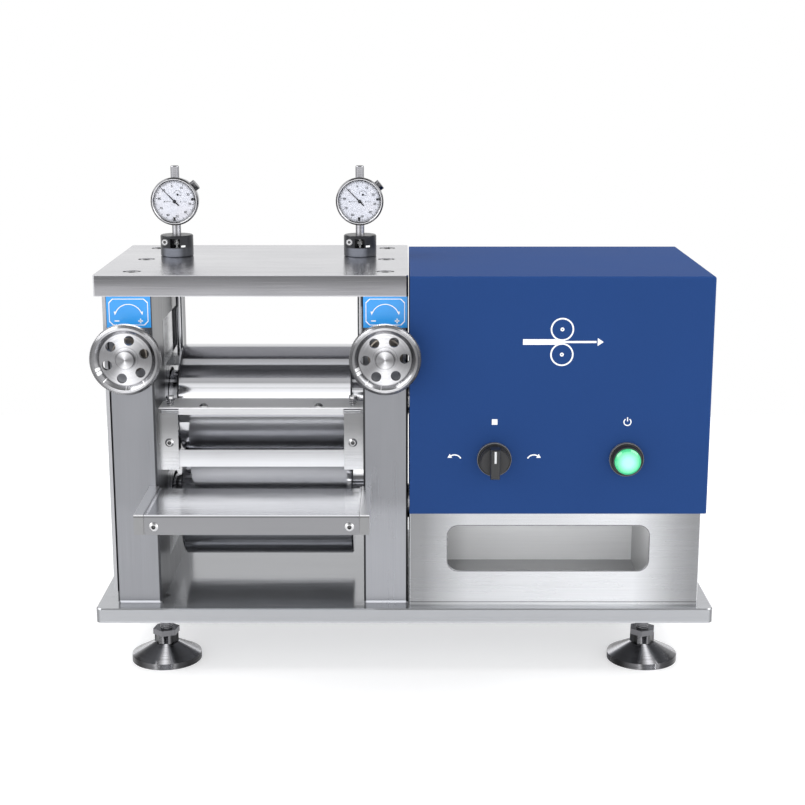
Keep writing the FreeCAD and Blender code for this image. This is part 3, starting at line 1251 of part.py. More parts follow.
def device_ring(name, across, bore, floor):
    """Panel device about an axis along Y: bezel in front of the panel, body behind it."""
    panel = "-hood_front"
    points = [(bore, "%s + %s" % (panel, floor)), (bore, "%s - collar_proud" % panel),
              ("collar_radius", "%s - collar_proud" % panel),
              ("collar_radius + 0.4", "%s - bezel_proud" % panel),
              ("bezel_ring - 1", "%s - bezel_proud" % panel),
              ("bezel_ring", "%s - bezel_proud + 1" % panel), ("bezel_ring", panel),
              ("device_radius", panel), ("device_radius", "%s + device_long" % panel),
              ("0", "%s + device_long" % panel), ("0", "%s + %s" % (panel, floor))]
    return turned(name, points, TO_Y, "box_left + " + across, 0, "%s + panel_level" % BOX_TOP)


def make_controls():
    device_ring("selector_bezel", "selector_at", "device_radius - 1", "2")
    device_ring("power_bezel", "power_at", "button_lens + control_clear", "-0.5")
    make_knob()
    make_lens()


def make_knob():
    z = "(%s + panel_level)" % BOX_TOP
    x = "(box_left + selector_at)"
    face = "(-hood_front - collar_proud - control_clear)"
    stem = rod("knob_stem", "device_radius - 1 - control_clear", "collar_proud", x,
               face, z, TO_Y)
    disc = rod("knob_disc", "handle_disc", "2.5", x, "%s - 2.5" % face, z, TO_Y)
    bar = block("knob_bar", "handle_wide", "handle_high", "handle_long", "%s - handle_wide / 2" % x,
                "%s - handle_high" % face, "%s - handle_long / 2" % z)
    front = value("%s + %s" % (face, MIDDLE))
    bar = ease("knob_bar_round", bar, "2", lambda edge: edge.BoundBox.YMax < front - 3)
    return fuse("selector_knob", stem, disc, bar)


def make_lens():
    """Domed push button lens with a short sprung stroke."""
    panel = "(-hood_front)"
    points = [("0", "%s - lens_proud" % panel), ("button_lens * 0.55", "%s - lens_proud + 0.5" % panel),
              ("button_lens * 0.85", "%s - lens_proud + 1.5" % panel),
              ("button_lens", "%s - lens_proud + 3.4" % panel),
              ("button_lens", "%s - 0.5 - lens_play" % panel),
              ("0", "%s - 0.5 - lens_play" % panel)]
    turned("power_button", points, TO_Y, "box_left + power_at", 0, "%s + panel_level" % BOX_TOP)


# ---------------------------------------------------------------- motor

def make_motor():
    face = "(%s + bull_wide + bracket_gap + bracket_thick)" % BULL_START
    z = DRIVE_AXIS
    head = block("gearhead", "gearhead_long", "gearhead_wide", "gearhead_wide", face,
                 "-gearhead_wide / 2", "%s - gearhead_wide / 2" % z)
    head = ease("gearhead_round", head, "8", along_x)
    drum = rod("motor_drum", "motor_radius", "motor_long + 1", "%s + gearhead_long - 1" % face,
               0, z, TO_X)
    fan = rod("motor_fan", "fan_radius", "fan_long + 1",
              "%s + gearhead_long + motor_long - 1" % face, 0, z, TO_X)
    lid = block("motor_terminal", "terminal_long", "terminal_wide", "terminal_high + 10",
                "%s + gearhead_long + 20" % face, "-terminal_wide / 2",
                "%s + motor_radius - 10" % z)
    hole = rod("gearhead_hole", "motor_shaft + running_clear", "motor_hole + 1", "%s - 1" % face,
               0, z, TO_X)
    cut("gear_motor", fuse("motor_body", head, drum, fan, lid), hole)
    make_motor_bracket(z)


def along_x(edge):
    way = edge.Vertexes[-1].Point - edge.Vertexes[0].Point
    return abs(way.y) < 1e-6 and abs(way.z) < 1e-6


def make_motor_bracket(z):
    face = "(%s + bull_wide + bracket_gap)" % BULL_START
    wall = block("bracket_wall", "bracket_thick", "bracket_wide",
                 "%s - %s + bracket_wide / 2" % (z, BOX_TOP), face, "-bracket_wide / 2", BOX_TOP)
    foot = block("bracket_foot_plate", "bracket_foot", "bracket_wide", "bracket_thick", face,
                 "-bracket_wide / 2", BOX_TOP)
    hole = rod("bracket_shaft_hole", "motor_shaft + 1", "4 * bracket_thick",
               "%s - bracket_thick" % face, 0, z, TO_X)
    return cut("motor_bracket", fuse("bracket_walls", wall, foot), hole)


# ---------------------------------------------------------------- whole part

def build():
    make_base()
    make_feet()
    for name, sign in SIDES:
        make_column(name, sign)
        make_wedge(name, sign)
        make_screw(name, sign)
        make_handwheel(name, sign)
    make_cover()
    make_top_plate()
    make_frame_screws()
    make_signs()
    make_rolls()
    make_blocks()
    make_gears()
    make_pinion()
    make_bushes()
    make_gauges()
    make_guides()
    make_return_springs()
    make_feed_plate()
    make_scraper()
    make_tray()
    make_buttons()
    make_tool_box()
    make_liner()
    make_deck()
    make_hood()
    make_inlet()
    make_controls()
    make_motor()


NODES = """base_plate foot_pads foot_studs column_left column_right side_cover top_plate
cap_screws return_springs direction_plates lower_blocks lower_bearings upper_blocks
upper_bearings lower_roll upper_roll drive_gear_lower drive_gear_upper bull_gear
motor_pinion wedge_left wedge_right lead_screw_left lead_screw_right handwheel_left
handwheel_right screw_bushes gauge_holders gauge_clamp_screws gauge_cases gauge_rods
gauge_bezel_left gauge_bezel_right gauge_dial_left gauge_dial_right gauge_needle_left
gauge_needle_right gauge_plunger_left gauge_plunger_right guide_brackets scraper_posts
scraper_springs feed_plate scraper_bar scraper_blade blade_screws tray_arms tray
button_screws tool_box tool_tray cabinet_deck control_hood power_inlet selector_bezel
power_bezel selector_knob power_button gear_motor motor_bracket""".split()


def check_and_write():
    doc.recompute()
    bad = [item.Name for item in doc.Objects if {"Invalid", "Error"} & set(item.State)]
    if bad:
        raise RuntimeError("failed objects: %s" % bad)
    os.makedirs("parts", exist_ok=True)
    for name in NODES:
        item = doc.getObject(name)
        item.Label = name
        shape = item.Shape
        if shape.isNull() or not shape.isValid() or not shape.Solids:
            raise RuntimeError("bad shape: %s" % name)
    for name in NODES:
        doc.getObject(name).Shape.exportStep("parts/%s.step" % name)
    print("nodes", len(NODES))


build()
check_and_write()
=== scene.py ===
import math

import bmesh
import bpy
from mathutils import Matrix, Vector


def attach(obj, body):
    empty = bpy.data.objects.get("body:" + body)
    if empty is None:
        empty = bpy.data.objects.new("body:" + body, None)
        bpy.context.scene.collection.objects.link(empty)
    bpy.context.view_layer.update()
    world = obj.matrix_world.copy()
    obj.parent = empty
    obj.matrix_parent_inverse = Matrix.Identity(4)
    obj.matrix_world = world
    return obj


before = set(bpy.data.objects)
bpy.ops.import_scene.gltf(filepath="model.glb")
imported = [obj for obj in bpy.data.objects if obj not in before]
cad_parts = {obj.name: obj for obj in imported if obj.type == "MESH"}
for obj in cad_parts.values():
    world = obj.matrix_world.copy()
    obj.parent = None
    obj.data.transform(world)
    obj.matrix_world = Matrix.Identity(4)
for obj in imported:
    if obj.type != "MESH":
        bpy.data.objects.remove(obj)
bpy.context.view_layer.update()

# Bench rolling press. Lengths are metres, X runs to the cabinet, Y to the back, Z up.
MILL = -0.1245                      # middle of the rolls
ROLL_Y = 0.0371                     # the rolls' axes
COLUMNS = (-0.23285, -0.01615)      # middles of the two columns, and of the lead screws
SCREW_Z = 0.283
GAUGES = (-0.2085, -0.0405)
GAUGE_Y, GAUGE_Z = 0.0626, 0.4007
PANEL_Y = -0.0724                   # front of the hood
SELECTOR, BUTTON = (0.077, 0.193), (0.1903, 0.193)
FEET = (0.214, 0.080)
DIAL_Y = 0.05515                    # face of the dials
HOLDER_RADIUS = 0.0149              # turned holders of the gauges
SIGN_INK = (-0.0001, 0.00008)       # levels of the marks on the direction plates
PANEL_INK = (-0.0001, 0.00012)      # and of those on the hood
DIAL_INK = (-0.00002, 0.0001)       # and of those on the dials
TOOL_WINDOW = (0.0375, 0.2125, 0.092, 0.133)    # left, right, low, high
WINDOW_ROUND = 0.0095
FOCAL_PX, FRAME_PX, SENSOR_MM = 1561.5, 805, 36.0

feet_centres = [(x, ROLL_Y + y, 0.0) for x in (-FEET[0], FEET[0]) for y in (-FEET[1], FEET[1])]
screw_centres = [(x, 0, SCREW_Z) for x in COLUMNS]
dial_centres = [(x, 0, GAUGE_Z) for x in GAUGES]
case_centres = [(x, GAUGE_Y, GAUGE_Z) for x in GAUGES]
clamp_centres = [(x - 0.0096, 0, 0.3641) for x in GAUGES]


# --- shader maths

class Wire:
    """A socket of a finish. Sums and products of wires add Math nodes."""

    def __init__(self, finish, socket):
        self.finish, self.socket = finish, socket

    def math(self, operation, other=0.0, flip=False):
        first, second = (other, self) if flip else (self, other)
        return self.finish.node("ShaderNodeMath", {"operation": operation}, {0: first, 1: second})

    def __add__(self, other):
        return self.math("ADD", other)

    def __sub__(self, other):
        return self.math("SUBTRACT", other)

    def __rsub__(self, other):
        return self.math("SUBTRACT", other, True)

    def __mul__(self, other):
        return self.math("MULTIPLY", other)

    def __truediv__(self, other):
        return self.math("DIVIDE", other)

    def __pow__(self, other):
        return self.math("POWER", other)

    __radd__, __rmul__ = __add__, __mul__

    def band(self, low, high):
        """0 below low, 1 above high, smooth between."""
        return self.finish.node("ShaderNodeMapRange", {"interpolation_type": "SMOOTHSTEP"},
                {"Value": self, "From Min": low, "From Max": high})


class Tree:
    """A node tree; make() adds a node, sets it up and joins its inputs."""

    def __init__(self, tree):
        self.tree = tree

    def make(self, kind, settings, feeds):
        item = self.tree.nodes.new(kind)
        for name, setting in (settings or {}).items():
            setattr(item, name, setting)
        for name, feed in (feeds or {}).items():
            socket = feed.socket if isinstance(feed, Wire) else feed
            if isinstance(socket, bpy.types.NodeSocket):
                self.tree.links.new(socket, item.inputs[name])
            else:
                item.inputs[name].default_value = feed
        return item

    def combine(self, x=0.0, y=0.0, z=0.0):
        return self.node("ShaderNodeCombineXYZ", None, {0: x, 1: y, 2: z})


class Wiring(Tree):
    """Shader nodes, made and joined in a line each."""

    def __init__(self, tree):
        super().__init__(tree)
        self.coords = tree.nodes.new("ShaderNodeTexCoord")

    def node(self, kind, settings=None, feeds=None, output=0):
        return Wire(self, self.make(kind, settings, feeds).outputs[output])

    def vector(self, operation, first, second=(0, 0, 0), output=0):
        feeds = {0: first, 3: second} if operation == "SCALE" else {0: first, 1: second}
        return self.node("ShaderNodeVectorMath", {"operation": operation}, feeds, output)

    def mix(self, share, first, second):
        """Mix of two colours."""
        ends = [c if isinstance(c, Wire) else tuple(c) + (1.0,) for c in (first, second)]
        return self.node("ShaderNodeMix", {"data_type": "RGBA"}, {0: share, 6: ends[0],
                7: ends[1]}, 2)

    def axes(self, vector):
        return [Wire(self, output) for output in self.make("ShaderNodeSeparateXYZ", None,
                {0: vector}).outputs]

    def noise(self, stretch, detail=2.0):
        """Noise over the object; a single number stretches all three axes alike."""
        shares = tuple(stretch) if isinstance(stretch, (list, tuple)) else (stretch,) * 3
        return self.node("ShaderNodeTexNoise", None, {"Vector": self.vector("MULTIPLY", self.place,
                shares), "Scale": 1.0, "Detail": detail})

    def grooves(self, wire, detail=1.0):
        """Noise along one line, such as a radius."""
        return self.node("ShaderNodeTexNoise", {"noise_dimensions": "1D"},
                {"W": wire, "Scale": 1.0, "Detail": detail})

    def bump(self, height, strength, distance):
        return self.node("ShaderNodeBump", None, {"Height": height, "Strength": strength,
                "Distance": distance})

    def ramp(self, wire, stops):
        """Grey level read from a list of (spot, level)."""
        item = self.make("ShaderNodeValToRGB", None, {0: wire})
        elements = item.color_ramp.elements
        while len(elements) < len(stops):
            elements.new(1.0)
        for element, (spot, level) in zip(elements, stops):
            element.position = spot
            element.color = (level, level, level, 1.0)
        return Wire(self, item.outputs[0])


class Finish(Wiring):
    """A material in the making: one shader, fed by wires."""

    def __init__(self, name, **constants):
        self.material = bpy.data.materials.new(name)
        self.material.use_nodes = True
        self.material.node_tree.nodes.clear()
        super().__init__(self.material.node_tree)
        self.shader = self.tree.nodes.new("ShaderNodeBsdfPrincipled")
        end = self.tree.nodes.new("ShaderNodeOutputMaterial")
        self.tree.links.new(self.shader.outputs[0], end.inputs[0])
        for socket, size in constants.items():
            self.shader.inputs[socket.replace("_", " ")].default_value = size
        self.place = Wire(self, self.coords.outputs["Object"])
        self.facing = Wire(self, self.coords.outputs["Normal"])
        self.x, self.y, self.z = self.axes(self.place)
        self.nx, self.ny, self.nz = self.axes(self.facing)

    def feed(self, **wires):
        for name, wire in wires.items():
            self.tree.links.new(wire.socket, self.shader.inputs[name.replace("_", " ")])
        return self

    def coat(self, tone, shade, **wires):
        """The material: its tone times a shade, and what else is fed."""
        return self.feed(Base_Color=self.vector("SCALE", tone, shade), **wires).material

    def front(self):
        """1 on faces that look to the front."""
        return (self.ny * -1).band(0.85, 0.98)

    def sides(self):
        """1 on faces that look left or right."""
        return self.nx.math("ABSOLUTE").band(0.80, 0.95)

    def tilt(self, direction, slope):
        """Normal tipped along a direction of the object's own space."""
        tipped = self.vector("ADD", self.facing, self.vector("SCALE", direction, slope))
        turned = self.node("ShaderNodeVectorTransform", {"vector_type": "NORMAL",
                "convert_from": "OBJECT", "convert_to": "WORLD"}, {0: tipped})
        return self.vector("NORMALIZE", turned)


def linear(red, green, blue):
    """Colour of the shader from the usual 0 to 255 numbers."""
    shares = [c / 255 for c in (red, green, blue)]
    return tuple(c / 12.92 if c <= 0.04045 else ((c + 0.055) / 1.055) ** 2.4 for c in shares)


# --- finishes

GRAINS = {"x": (1, 0, 0), "y": (0, 1, 0), "z": (0, 0, 1)}
GRAIN_LONG, GRAIN_FINE = 14, 1400   # how often a grain changes along itself and across


def grained_steel(name, tone, rough, grain, slope, streak, blotch, metallic=1.0, shading=None,
        lean=None):
    """Plate or sheet with a brushed or ground grain along one axis."""
    finish = Finish(name, Metallic=metallic)
    lines = finish.noise([GRAIN_LONG if axis == grain else GRAIN_FINE for axis in "xyz"], 1.0)
    bands = finish.noise([GRAIN_LONG * 0.5 if axis == grain else GRAIN_FINE * 0.16
            for axis in "xyz"])
    clouds = finish.noise(9, 3.0)
    across = finish.vector("CROSS_PRODUCT", finish.facing, GRAINS[grain])
    shade = 1 + (lines - 0.5) * streak + (bands - 0.5) * streak * 0.6 + (clouds - 0.5) * blotch
    if shading:
        shade = shade * shading(finish)
    roughness = rough + (bands - 0.5) * 0.12 + (clouds - 0.5) * 0.16
    tipped = finish.vector("SCALE", across, (lines - 0.5) * slope)
    if lean:
        tipped = finish.vector("ADD", tipped, lean(finish))
    return finish.coat(tone, shade, Roughness=roughness, Normal=finish.tilt(tipped, 1.0))


def turned_steel(name, tone, rough, centres, axis, slope, rings, streak, metallic=1.0,
        painted_shade_rings=(), painted_fans=None, lean=0.0, shading=None):
    """Lathe turned metal: grooves run round the nearest centre line, with fan-shaped painted
    highlights and rings of painted shade.
    """
    finish = Finish(name, Metallic=metallic)
    local = folded_spot(finish, centres)
    keep = tuple(0.0 if axis == letter else 1.0 for letter in "xyz")
    flat = finish.vector("MULTIPLY", local, keep)
    radius = finish.vector("LENGTH", flat, output=1)
    outward = finish.vector("NORMALIZE", flat)
    along = finish.axes(local)["xyz".index(axis)]
    groove = finish.grooves(radius * rings + along * rings * 0.83)
    clouds = finish.noise(40)
    shade = 1 + (groove - 0.5) * streak + (clouds - 0.5) * 0.1
    # painted shade: darker rings at given radii, in sockets, grooves and edges
    for low, high, depth in painted_shade_rings:
        ring = radius.band(low - 0.0002, low) - radius.band(high, high + 0.0002)
        shade = shade * (1 - ring * depth)
    # fan-shaped painted highlights round the centre, where turned grooves would catch the light
    if painted_fans:
        a, b = [finish.axes(flat)[n] for n in ((0, 2) if axis == "y" else (0, 1))]
        blades, low, gain, narrow = painted_fans
        turn = b.math("ARCTAN2", a) - math.radians(95)
        fan = (turn * blades).math("COSINE") * 0.5 + 0.5
        fan = fan ** narrow
        shade = shade * (fan * gain + low + (turn * 5).math("SINE") * 0.08)
    if shading:
        shade = shade * shading(finish, local)
    facing_out = finish.vector("DOT_PRODUCT", finish.facing, GRAINS[axis], 1)
    direction = finish.vector("ADD", finish.vector("SCALE", outward, facing_out * facing_out),
            finish.vector("SCALE", GRAINS[axis], 1 - facing_out * facing_out))
    return finish.coat(tone, shade, Roughness=rough + (groove - 0.5) * 0.1,
            Normal=finish.tilt(direction, (groove - 0.5) * slope + (fan * lean if lean else 0.0)))


def folded_spot(finish, centres):
    """Place counted from the nearest of centres that mirror each other in X, Y or both."""
    parts = []
    for number, wire in enumerate((finish.x, finish.y, finish.z)):
        sides = sorted({centre[number] for centre in centres})
        middle, half = (sides[0] + sides[-1]) / 2, (sides[-1] - sides[0]) / 2
        from_middle = wire - middle
        parts.append(from_middle - from_middle.math("SIGN") * half if half else from_middle)
    return finish.combine(*parts)


def powder_paint(name, tone, rough=0.42, gloss=0.22):
    """Powder coat: slight orange peel, faint drift of colour."""
    finish = Finish(name, Specular_IOR_Level=gloss)
    clouds = finish.noise(7, 3.0)
    fine = finish.noise(900)
    shade = 1 + (clouds - 0.5) * 0.14 + (fine - 0.5) * 0.12
    return finish.coat(tone, shade, Roughness=rough + (clouds - 0.5) * 0.1,
            Normal=finish.bump(fine, 0.25, 0.0002))


def moulded_plastic(name, tone, rough=0.38):
    finish = Finish(name, Specular_IOR_Level=0.5)
    fine = finish.noise(1600)
    clouds = finish.noise(30)
    return finish.coat(tone, 1 + (clouds - 0.5) * 0.3, Roughness=rough + (fine - 0.5) * 0.15,
            Normal=finish.bump(fine, 0.12, 0.0001))


def printed_ink(name, tone, rough=0.45):
    """Screen printed mark, a little uneven."""
    finish = Finish(name, Specular_IOR_Level=0.4)
    fine = finish.noise(2200)
    clouds = finish.noise(120)
    shade = 1 + (fine - 0.5) * 0.1 + (clouds - 0.5) * 0.08
    return finish.coat(tone, shade, Roughness=rough + (fine - 0.5) * 0.2)


def lit_lens(name, deep, bright):
    """Translucent green push button with its lamp on."""
    finish = Finish(name, Roughness=0.12, Coat_Weight=0.6, Coat_Roughness=0.05,
            Emission_Strength=0.75)
    x, z = finish.x - BUTTON[0], finish.z - BUTTON[1]
    radius = (x * x + z * z).math("SQRT")
    glow = 1 - radius.band(0.002, 0.0115)
    prisms = finish.node("ShaderNodeTexVoronoi", {"feature": "F1"},
            {"Vector": finish.vector("MULTIPLY", finish.place, (700, 60, 700))})
    share = glow * 0.75 + prisms * 0.18
    colour = finish.mix(share, deep, bright)
    return finish.feed(Base_Color=colour, Emission_Color=colour).material


def sky_sign(name, tone):
    finish = Finish(name, Coat_Weight=0.5, Coat_Roughness=0.12)
    clouds = finish.noise(60)
    lines = finish.noise((30, 1500, 1500), 1.0)
    shade = 1 + (clouds - 0.5) * 0.12 + (lines - 0.5) * 0.06
    return finish.coat(tone, shade, Roughness=0.32 + (clouds - 0.5) * 0.1)


def paper_dial(name, tone):
    """Printed card, greyer where the bezel shades it."""
    finish = Finish(name)
    fine = finish.noise(1500)
    clouds = finish.noise(80)
    x, y, z = finish.axes(folded_spot(finish, dial_centres))
    rim = (x * x + z * z).math("SQRT").band(0.0168, 0.0188)
    shade = (1 + (fine - 0.5) * 0.05 + (clouds - 0.5) * 0.06) * (1 - rim * 0.5)
    return finish.coat(tone, shade, Roughness=0.5 + (fine - 0.5) * 0.2)


def watch_glass(name):
    finish = Finish(name, Transmission_Weight=1.0, IOR=1.08, Specular_IOR_Level=0.6)
    clouds = finish.noise(60)
    return finish.feed(Base_Color=finish.mix(clouds, (1, 1, 1), (0.94, 0.97, 1.0)),
            Roughness=clouds * 0.04).material


def sealed_bearing(name, ring, seal):
    """Ground rings with a dark rubber seal between them, about both roll axes."""
    finish = Finish(name)
    low = 1 - finish.z.band(0.1732, 0.1738)
    up = finish.z - 0.124 * low - 0.223 * (1 - low)
    away = finish.y - ROLL_Y
    radius = (away * away + up * up).math("SQRT")
    rubber = radius.band(0.0243, 0.0247) - radius.band(0.0297, 0.0301)
    groove = finish.grooves(radius * 3000)
    colour = finish.mix(rubber, ring, seal)
    return finish.coat(colour, 1 + (groove - 0.5) * 0.2, Metallic=1 - rubber,
            Roughness=0.25 + rubber * 0.3)


def roll_mirror(name, tone):
    """Hardened roll, ground and lapped round its axis."""
    finish = Finish(name, Metallic=1.0)
    rings = finish.grooves(finish.x * 5200)
    bands = finish.grooves(finish.x * 60, 2.0)
    haze = finish.noise(30, 3.0)
    shade = 1 + (rings - 0.5) * 0.05 + (haze - 0.5) * 0.05
    return finish.coat(tone, shade, Roughness=0.09 + (haze - 0.5) * 0.05 + (bands - 0.5) * 0.04,
            Normal=finish.tilt((1, 0, 0), (rings - 0.5) * 0.05))


def column_foot(finish):
    """1 on the chamfer at the foot of a column's front."""
    return (finish.ny * -1).band(0.3, 0.6) * (finish.nz * -1).band(0.3, 0.6)


def column_shading(finish):
    """Painted shade down the front edges and on the side faces of the columns, a painted highlight
    on the foot chamfer, and painted light on the lower fronts, more on the right column.
    """
    x, z = finish.x, finish.z
    away = (x - (COLUMNS[0] + COLUMNS[1]) / 2).math("ABSOLUTE") - (COLUMNS[1] - COLUMNS[0]) / 2
    edge = away.math("ABSOLUTE").band(0.0172, 0.0178) * (finish.ny * -1).band(0.3, 0.6)
    low = (1 - z.band(0.138, 0.158)) * finish.front() * (0.05 + x.band(-0.2, -0.05) * 0.25)
    front = (1 - edge * 0.72) * (1 + column_foot(finish) * 1.2) * (1 + low)
    return front * (1 - finish.sides() * 0.48)


def column_lean(finish):
    """The chamfer at a column's foot catches the light from the front."""
    return finish.vector("SCALE", (0, -0.6, 0.9), column_foot(finish))


def tray_shading(finish):
    """Painted shade on the front lip below its top edge, which keeps a painted highlight, a painted
    dark line under that edge, and painted shade on faces that look left.
    """
    z = finish.z
    line = z.band(0.1640, 0.1645) - z.band(0.1652, 0.1656)
    front = finish.front()
    outer = (finish.nx * -1).band(0.8, 0.95)
    return ((1 - front * (1 - z.band(0.1652, 0.1656)) * 0.57) * (1 - line * front * 0.5) *
            (1 - outer * 0.42))


def arm_shading(finish):
    """As the tray, with more painted shade on the front ends."""
    return tray_shading(finish) * (1 - finish.front() * 0.26)


def bracket_shading(finish):
    """Painted shade on the fronts of the brackets, more towards the top."""
    return 1 - finish.front() * finish.z.band(0.176, 0.222) * 0.68


def feed_shading(finish):
    """Painted light on the front of the feed plate towards its lower edge, painted shade towards
    its top.
    """
    return 1 + finish.front() * (0.22 - finish.z.band(0.181, 0.1945) * 0.42)


def base_shading(finish):
    """Painted shade on the top between the columns, on the front above a lower edge strip left as a
    painted highlight, and on the rounded ends.
    """
    x, z = finish.x, finish.z
    between = (1 - (x - MILL).math("ABSOLUTE").band(0.088, 0.0895)) * finish.y.band(-0.066, -0.064)
    top = finish.nz.band(0.9, 0.99)
    corner = x.math("ABSOLUTE").band(0.2655, 0.2680) * (1 - top)
    edge = finish.front() * z.band(0.0472, 0.0480)
    return (1 - between * top * 0.1) * (1 - edge * 0.16) * (1 - corner * 0.55)


def foot_shading(finish, local):
    """Painted shade on the rim and hexagon faces that look left or right; those that face the front
    or the back are left bright.
    """
    upright = 1 - finish.nz.math("ABSOLUTE").band(0.2, 0.5)
    return 1 - upright * (1 - (finish.ny * finish.ny).band(0.45, 0.98)) * 0.72


def plate_shading(finish):
    """Painted shade on the front edge of the top plate, darker towards the top, with painted
    highlights along its top and bottom corners, and painted shade underneath.
    """
    z = finish.z
    front = finish.front()
    upper = z.band(0.3335, 0.3500)
    corner = z.band(0.3497, 0.3503) + 1 - z.band(0.3327, 0.3336)
    under = (finish.nz * -1).band(0.8, 0.95)
    return (1 - front * (0.40 + upper * 0.34) * (1 - corner)) * (1 - under * 0.45)


def holder_shading(finish, local):
    """Darker above, lighter round the foot, with a painted highlight down the front of the foot."""
    x, y, z = finish.axes(local)
    foot = 1 - z.band(0.3584, 0.3590)
    side = x * 67 + 0.15
    # painted highlight down the front of the foot
    glow = (1 - (side * side).band(0.0, 0.5)) * foot
    return 0.55 + foot * 0.5 + glow * 3.6


def case_shading(finish, local):
    """Grey dust cap above the case, blackened lock knob beside it, and a darker stem with painted
    reflection streaks.
    """
    x, y, z = finish.axes(local)
    outside = (x * x + z * z).math("SQRT").band(0.0203, 0.0208)
    cap = z.band(0.0185, 0.0195) * (1 - x.math("ABSOLUTE").band(0.0042, 0.0046))
    knob = x.band(0.0100, 0.0105) * z.band(0.0, 0.001)
    # painted reflection: streaks down the stem, set by which way its faces look
    stem = (1 - z.band(-0.0195, -0.0185)) * (finish.nx * 7 + 0.8).math("SINE")
    tube = 1 - z.band(-0.0195, -0.0185)
    return 1 - outside * (cap * 0.52 + knob * (1 - cap) * 0.85 + tube * 0.42 + stem * 0.30)


def box_shading(finish):
    """Painted reflection across the front, brighter in the middle and darker towards both ends, a
    dark seam line low on the front, and painted shade on the side faces.
    """
    share = (finish.x - 0.004) / 0.257
    # painted reflection across the front, from end to end
    broad = finish.ramp(share, [(0.0, 0.38), (0.05, 0.40), (0.10, 0.54), (0.20, 0.78),
            (0.45, 0.90), (0.62, 0.95), (0.76, 0.95), (0.84, 0.70), (0.90, 0.50), (0.96, 0.38),
            (1.0, 0.38)])
    seam = finish.z.band(0.0628, 0.0631) - finish.z.band(0.0637, 0.0640)
    broad = broad * (1 - seam * 0.55)
    return (1 - finish.front() * (1 - broad)) * (1 - finish.sides() * 0.48)


def liner_shading(finish):
    """Painted shade: the floor and both ends darker than the pale back wall, and all darker towards
    the left end.
    """
    floor = finish.nz.band(0.8, 0.95)
    far = finish.x.band(0.036, 0.062) * 0.28
    return (1 - floor * 0.62) * (1 - finish.sides() * 0.45) * (0.72 + far)


def dress(material, *nodes):
    """Puts a finish on solids of the frame."""
    for node in nodes:
        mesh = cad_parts[node].data
        mesh.materials.clear()
        mesh.materials.append(material)
    return material


dress(grained_steel("brushed_column_steel", (0.250, 0.255, 0.272), 0.30, "z", 0.16, 0.10, 0.22,
        shading=column_shading, lean=column_lean), "column_left", "column_right")
dress(grained_steel("ground_plate_steel", (0.55, 0.55, 0.575), 0.22, "x", 0.14, 0.08, 0.08,
        shading=plate_shading), "top_plate")
dress(grained_steel("polished_base_steel", (0.44, 0.45, 0.47), 0.16, "x", 0.05, 0.06, 0.08,
        metallic=0.72, shading=base_shading), "base_plate")
dress(grained_steel("brushed_sheet_steel", (0.66, 0.67, 0.69), 0.27, "x", 0.20, 0.10, 0.26,
        shading=box_shading), "tool_box")
dress(grained_steel("satin_tray_steel", (0.62, 0.625, 0.65), 0.20, "x", 0.10, 0.07, 0.12,
        shading=tray_shading), "tray")
# paler than the tray's own steel: painted light on the arms
dress(grained_steel("tray_arm_steel", (0.86, 0.865, 0.88), 0.30, "y", 0.10, 0.07, 0.12,
        shading=arm_shading), "tray_arms")
dress(grained_steel("guide_sheet_steel", (0.70, 0.705, 0.72), 0.24, "x", 0.12, 0.10, 0.14,
        shading=bracket_shading), "guide_brackets")
dress(grained_steel("satin_blade_steel", (0.80, 0.805, 0.82), 0.46, "x", 0.12, 0.08, 0.10,
        metallic=0.4), "scraper_blade")
dress(grained_steel("ground_bar_steel", (0.58, 0.585, 0.60), 0.36, "x", 0.12, 0.08, 0.10),
        "scraper_bar")
dress(grained_steel("satin_feed_steel", (0.66, 0.665, 0.68), 0.34, "x", 0.12, 0.08, 0.10,
        shading=feed_shading), "feed_plate")
dress(grained_steel("brushed_cover_steel", (0.40, 0.405, 0.42), 0.30, "z", 0.16, 0.10, 0.14),
        "side_cover")
dress(grained_steel("ground_block_steel", (0.42, 0.425, 0.44), 0.28, "z", 0.10, 0.12, 0.14),
        "lower_blocks", "upper_blocks")
dress(grained_steel("ground_wedge_steel", (0.52, 0.525, 0.54), 0.22, "y", 0.10, 0.12, 0.10),
        "wedge_left", "wedge_right")
dress(grained_steel("zinc_deck_sheet", (0.55, 0.56, 0.57), 0.38, "y", 0.10, 0.06, 0.35),
        "cabinet_deck")
dress(grained_steel("tool_tray_sheet", (0.74, 0.745, 0.755), 0.42, "x", 0.08, 0.06, 0.08,
        metallic=0.3, shading=liner_shading), "tool_tray")
# dark steel for the tool window's cut edge and a band beside it: painted shade
window_shade_steel = grained_steel("cut_edge_steel", (0.20, 0.20, 0.21), 0.3, "x", 0.08, 0.1, 0.1)
dress(grained_steel("cut_gear_steel", (0.40, 0.40, 0.41), 0.30, "x", 0.12, 0.14, 0.2),
        "drive_gear_lower", "drive_gear_upper", "bull_gear", "motor_pinion")
small_steel = dress(grained_steel("bright_screw_steel", (0.62, 0.62, 0.63), 0.2, "z", 0.08, 0.1,
        0.2), "scraper_posts", "blade_screws")
lock_nut_steel = dress(grained_steel("lock_nut_steel", (0.30, 0.30, 0.31), 0.26, "z", 0.12, 0.2,
        0.3), "cap_screws")
dress(grained_steel("stud_steel", (0.17, 0.17, 0.18), 0.24, "z", 0.12, 0.2, 0.3), "foot_studs")
dress(grained_steel("gauge_rod_steel", (0.55, 0.555, 0.57), 0.18, "z", 0.05, 0.08, 0.1),
        "gauge_rods")
dress(grained_steel("spring_wire", (0.5, 0.5, 0.52), 0.25, "z", 0.05, 0.1, 0.1), "return_springs",
        "scraper_springs")
dress(powder_paint("motor_bracket_paint", (0.16, 0.165, 0.17)), "motor_bracket")
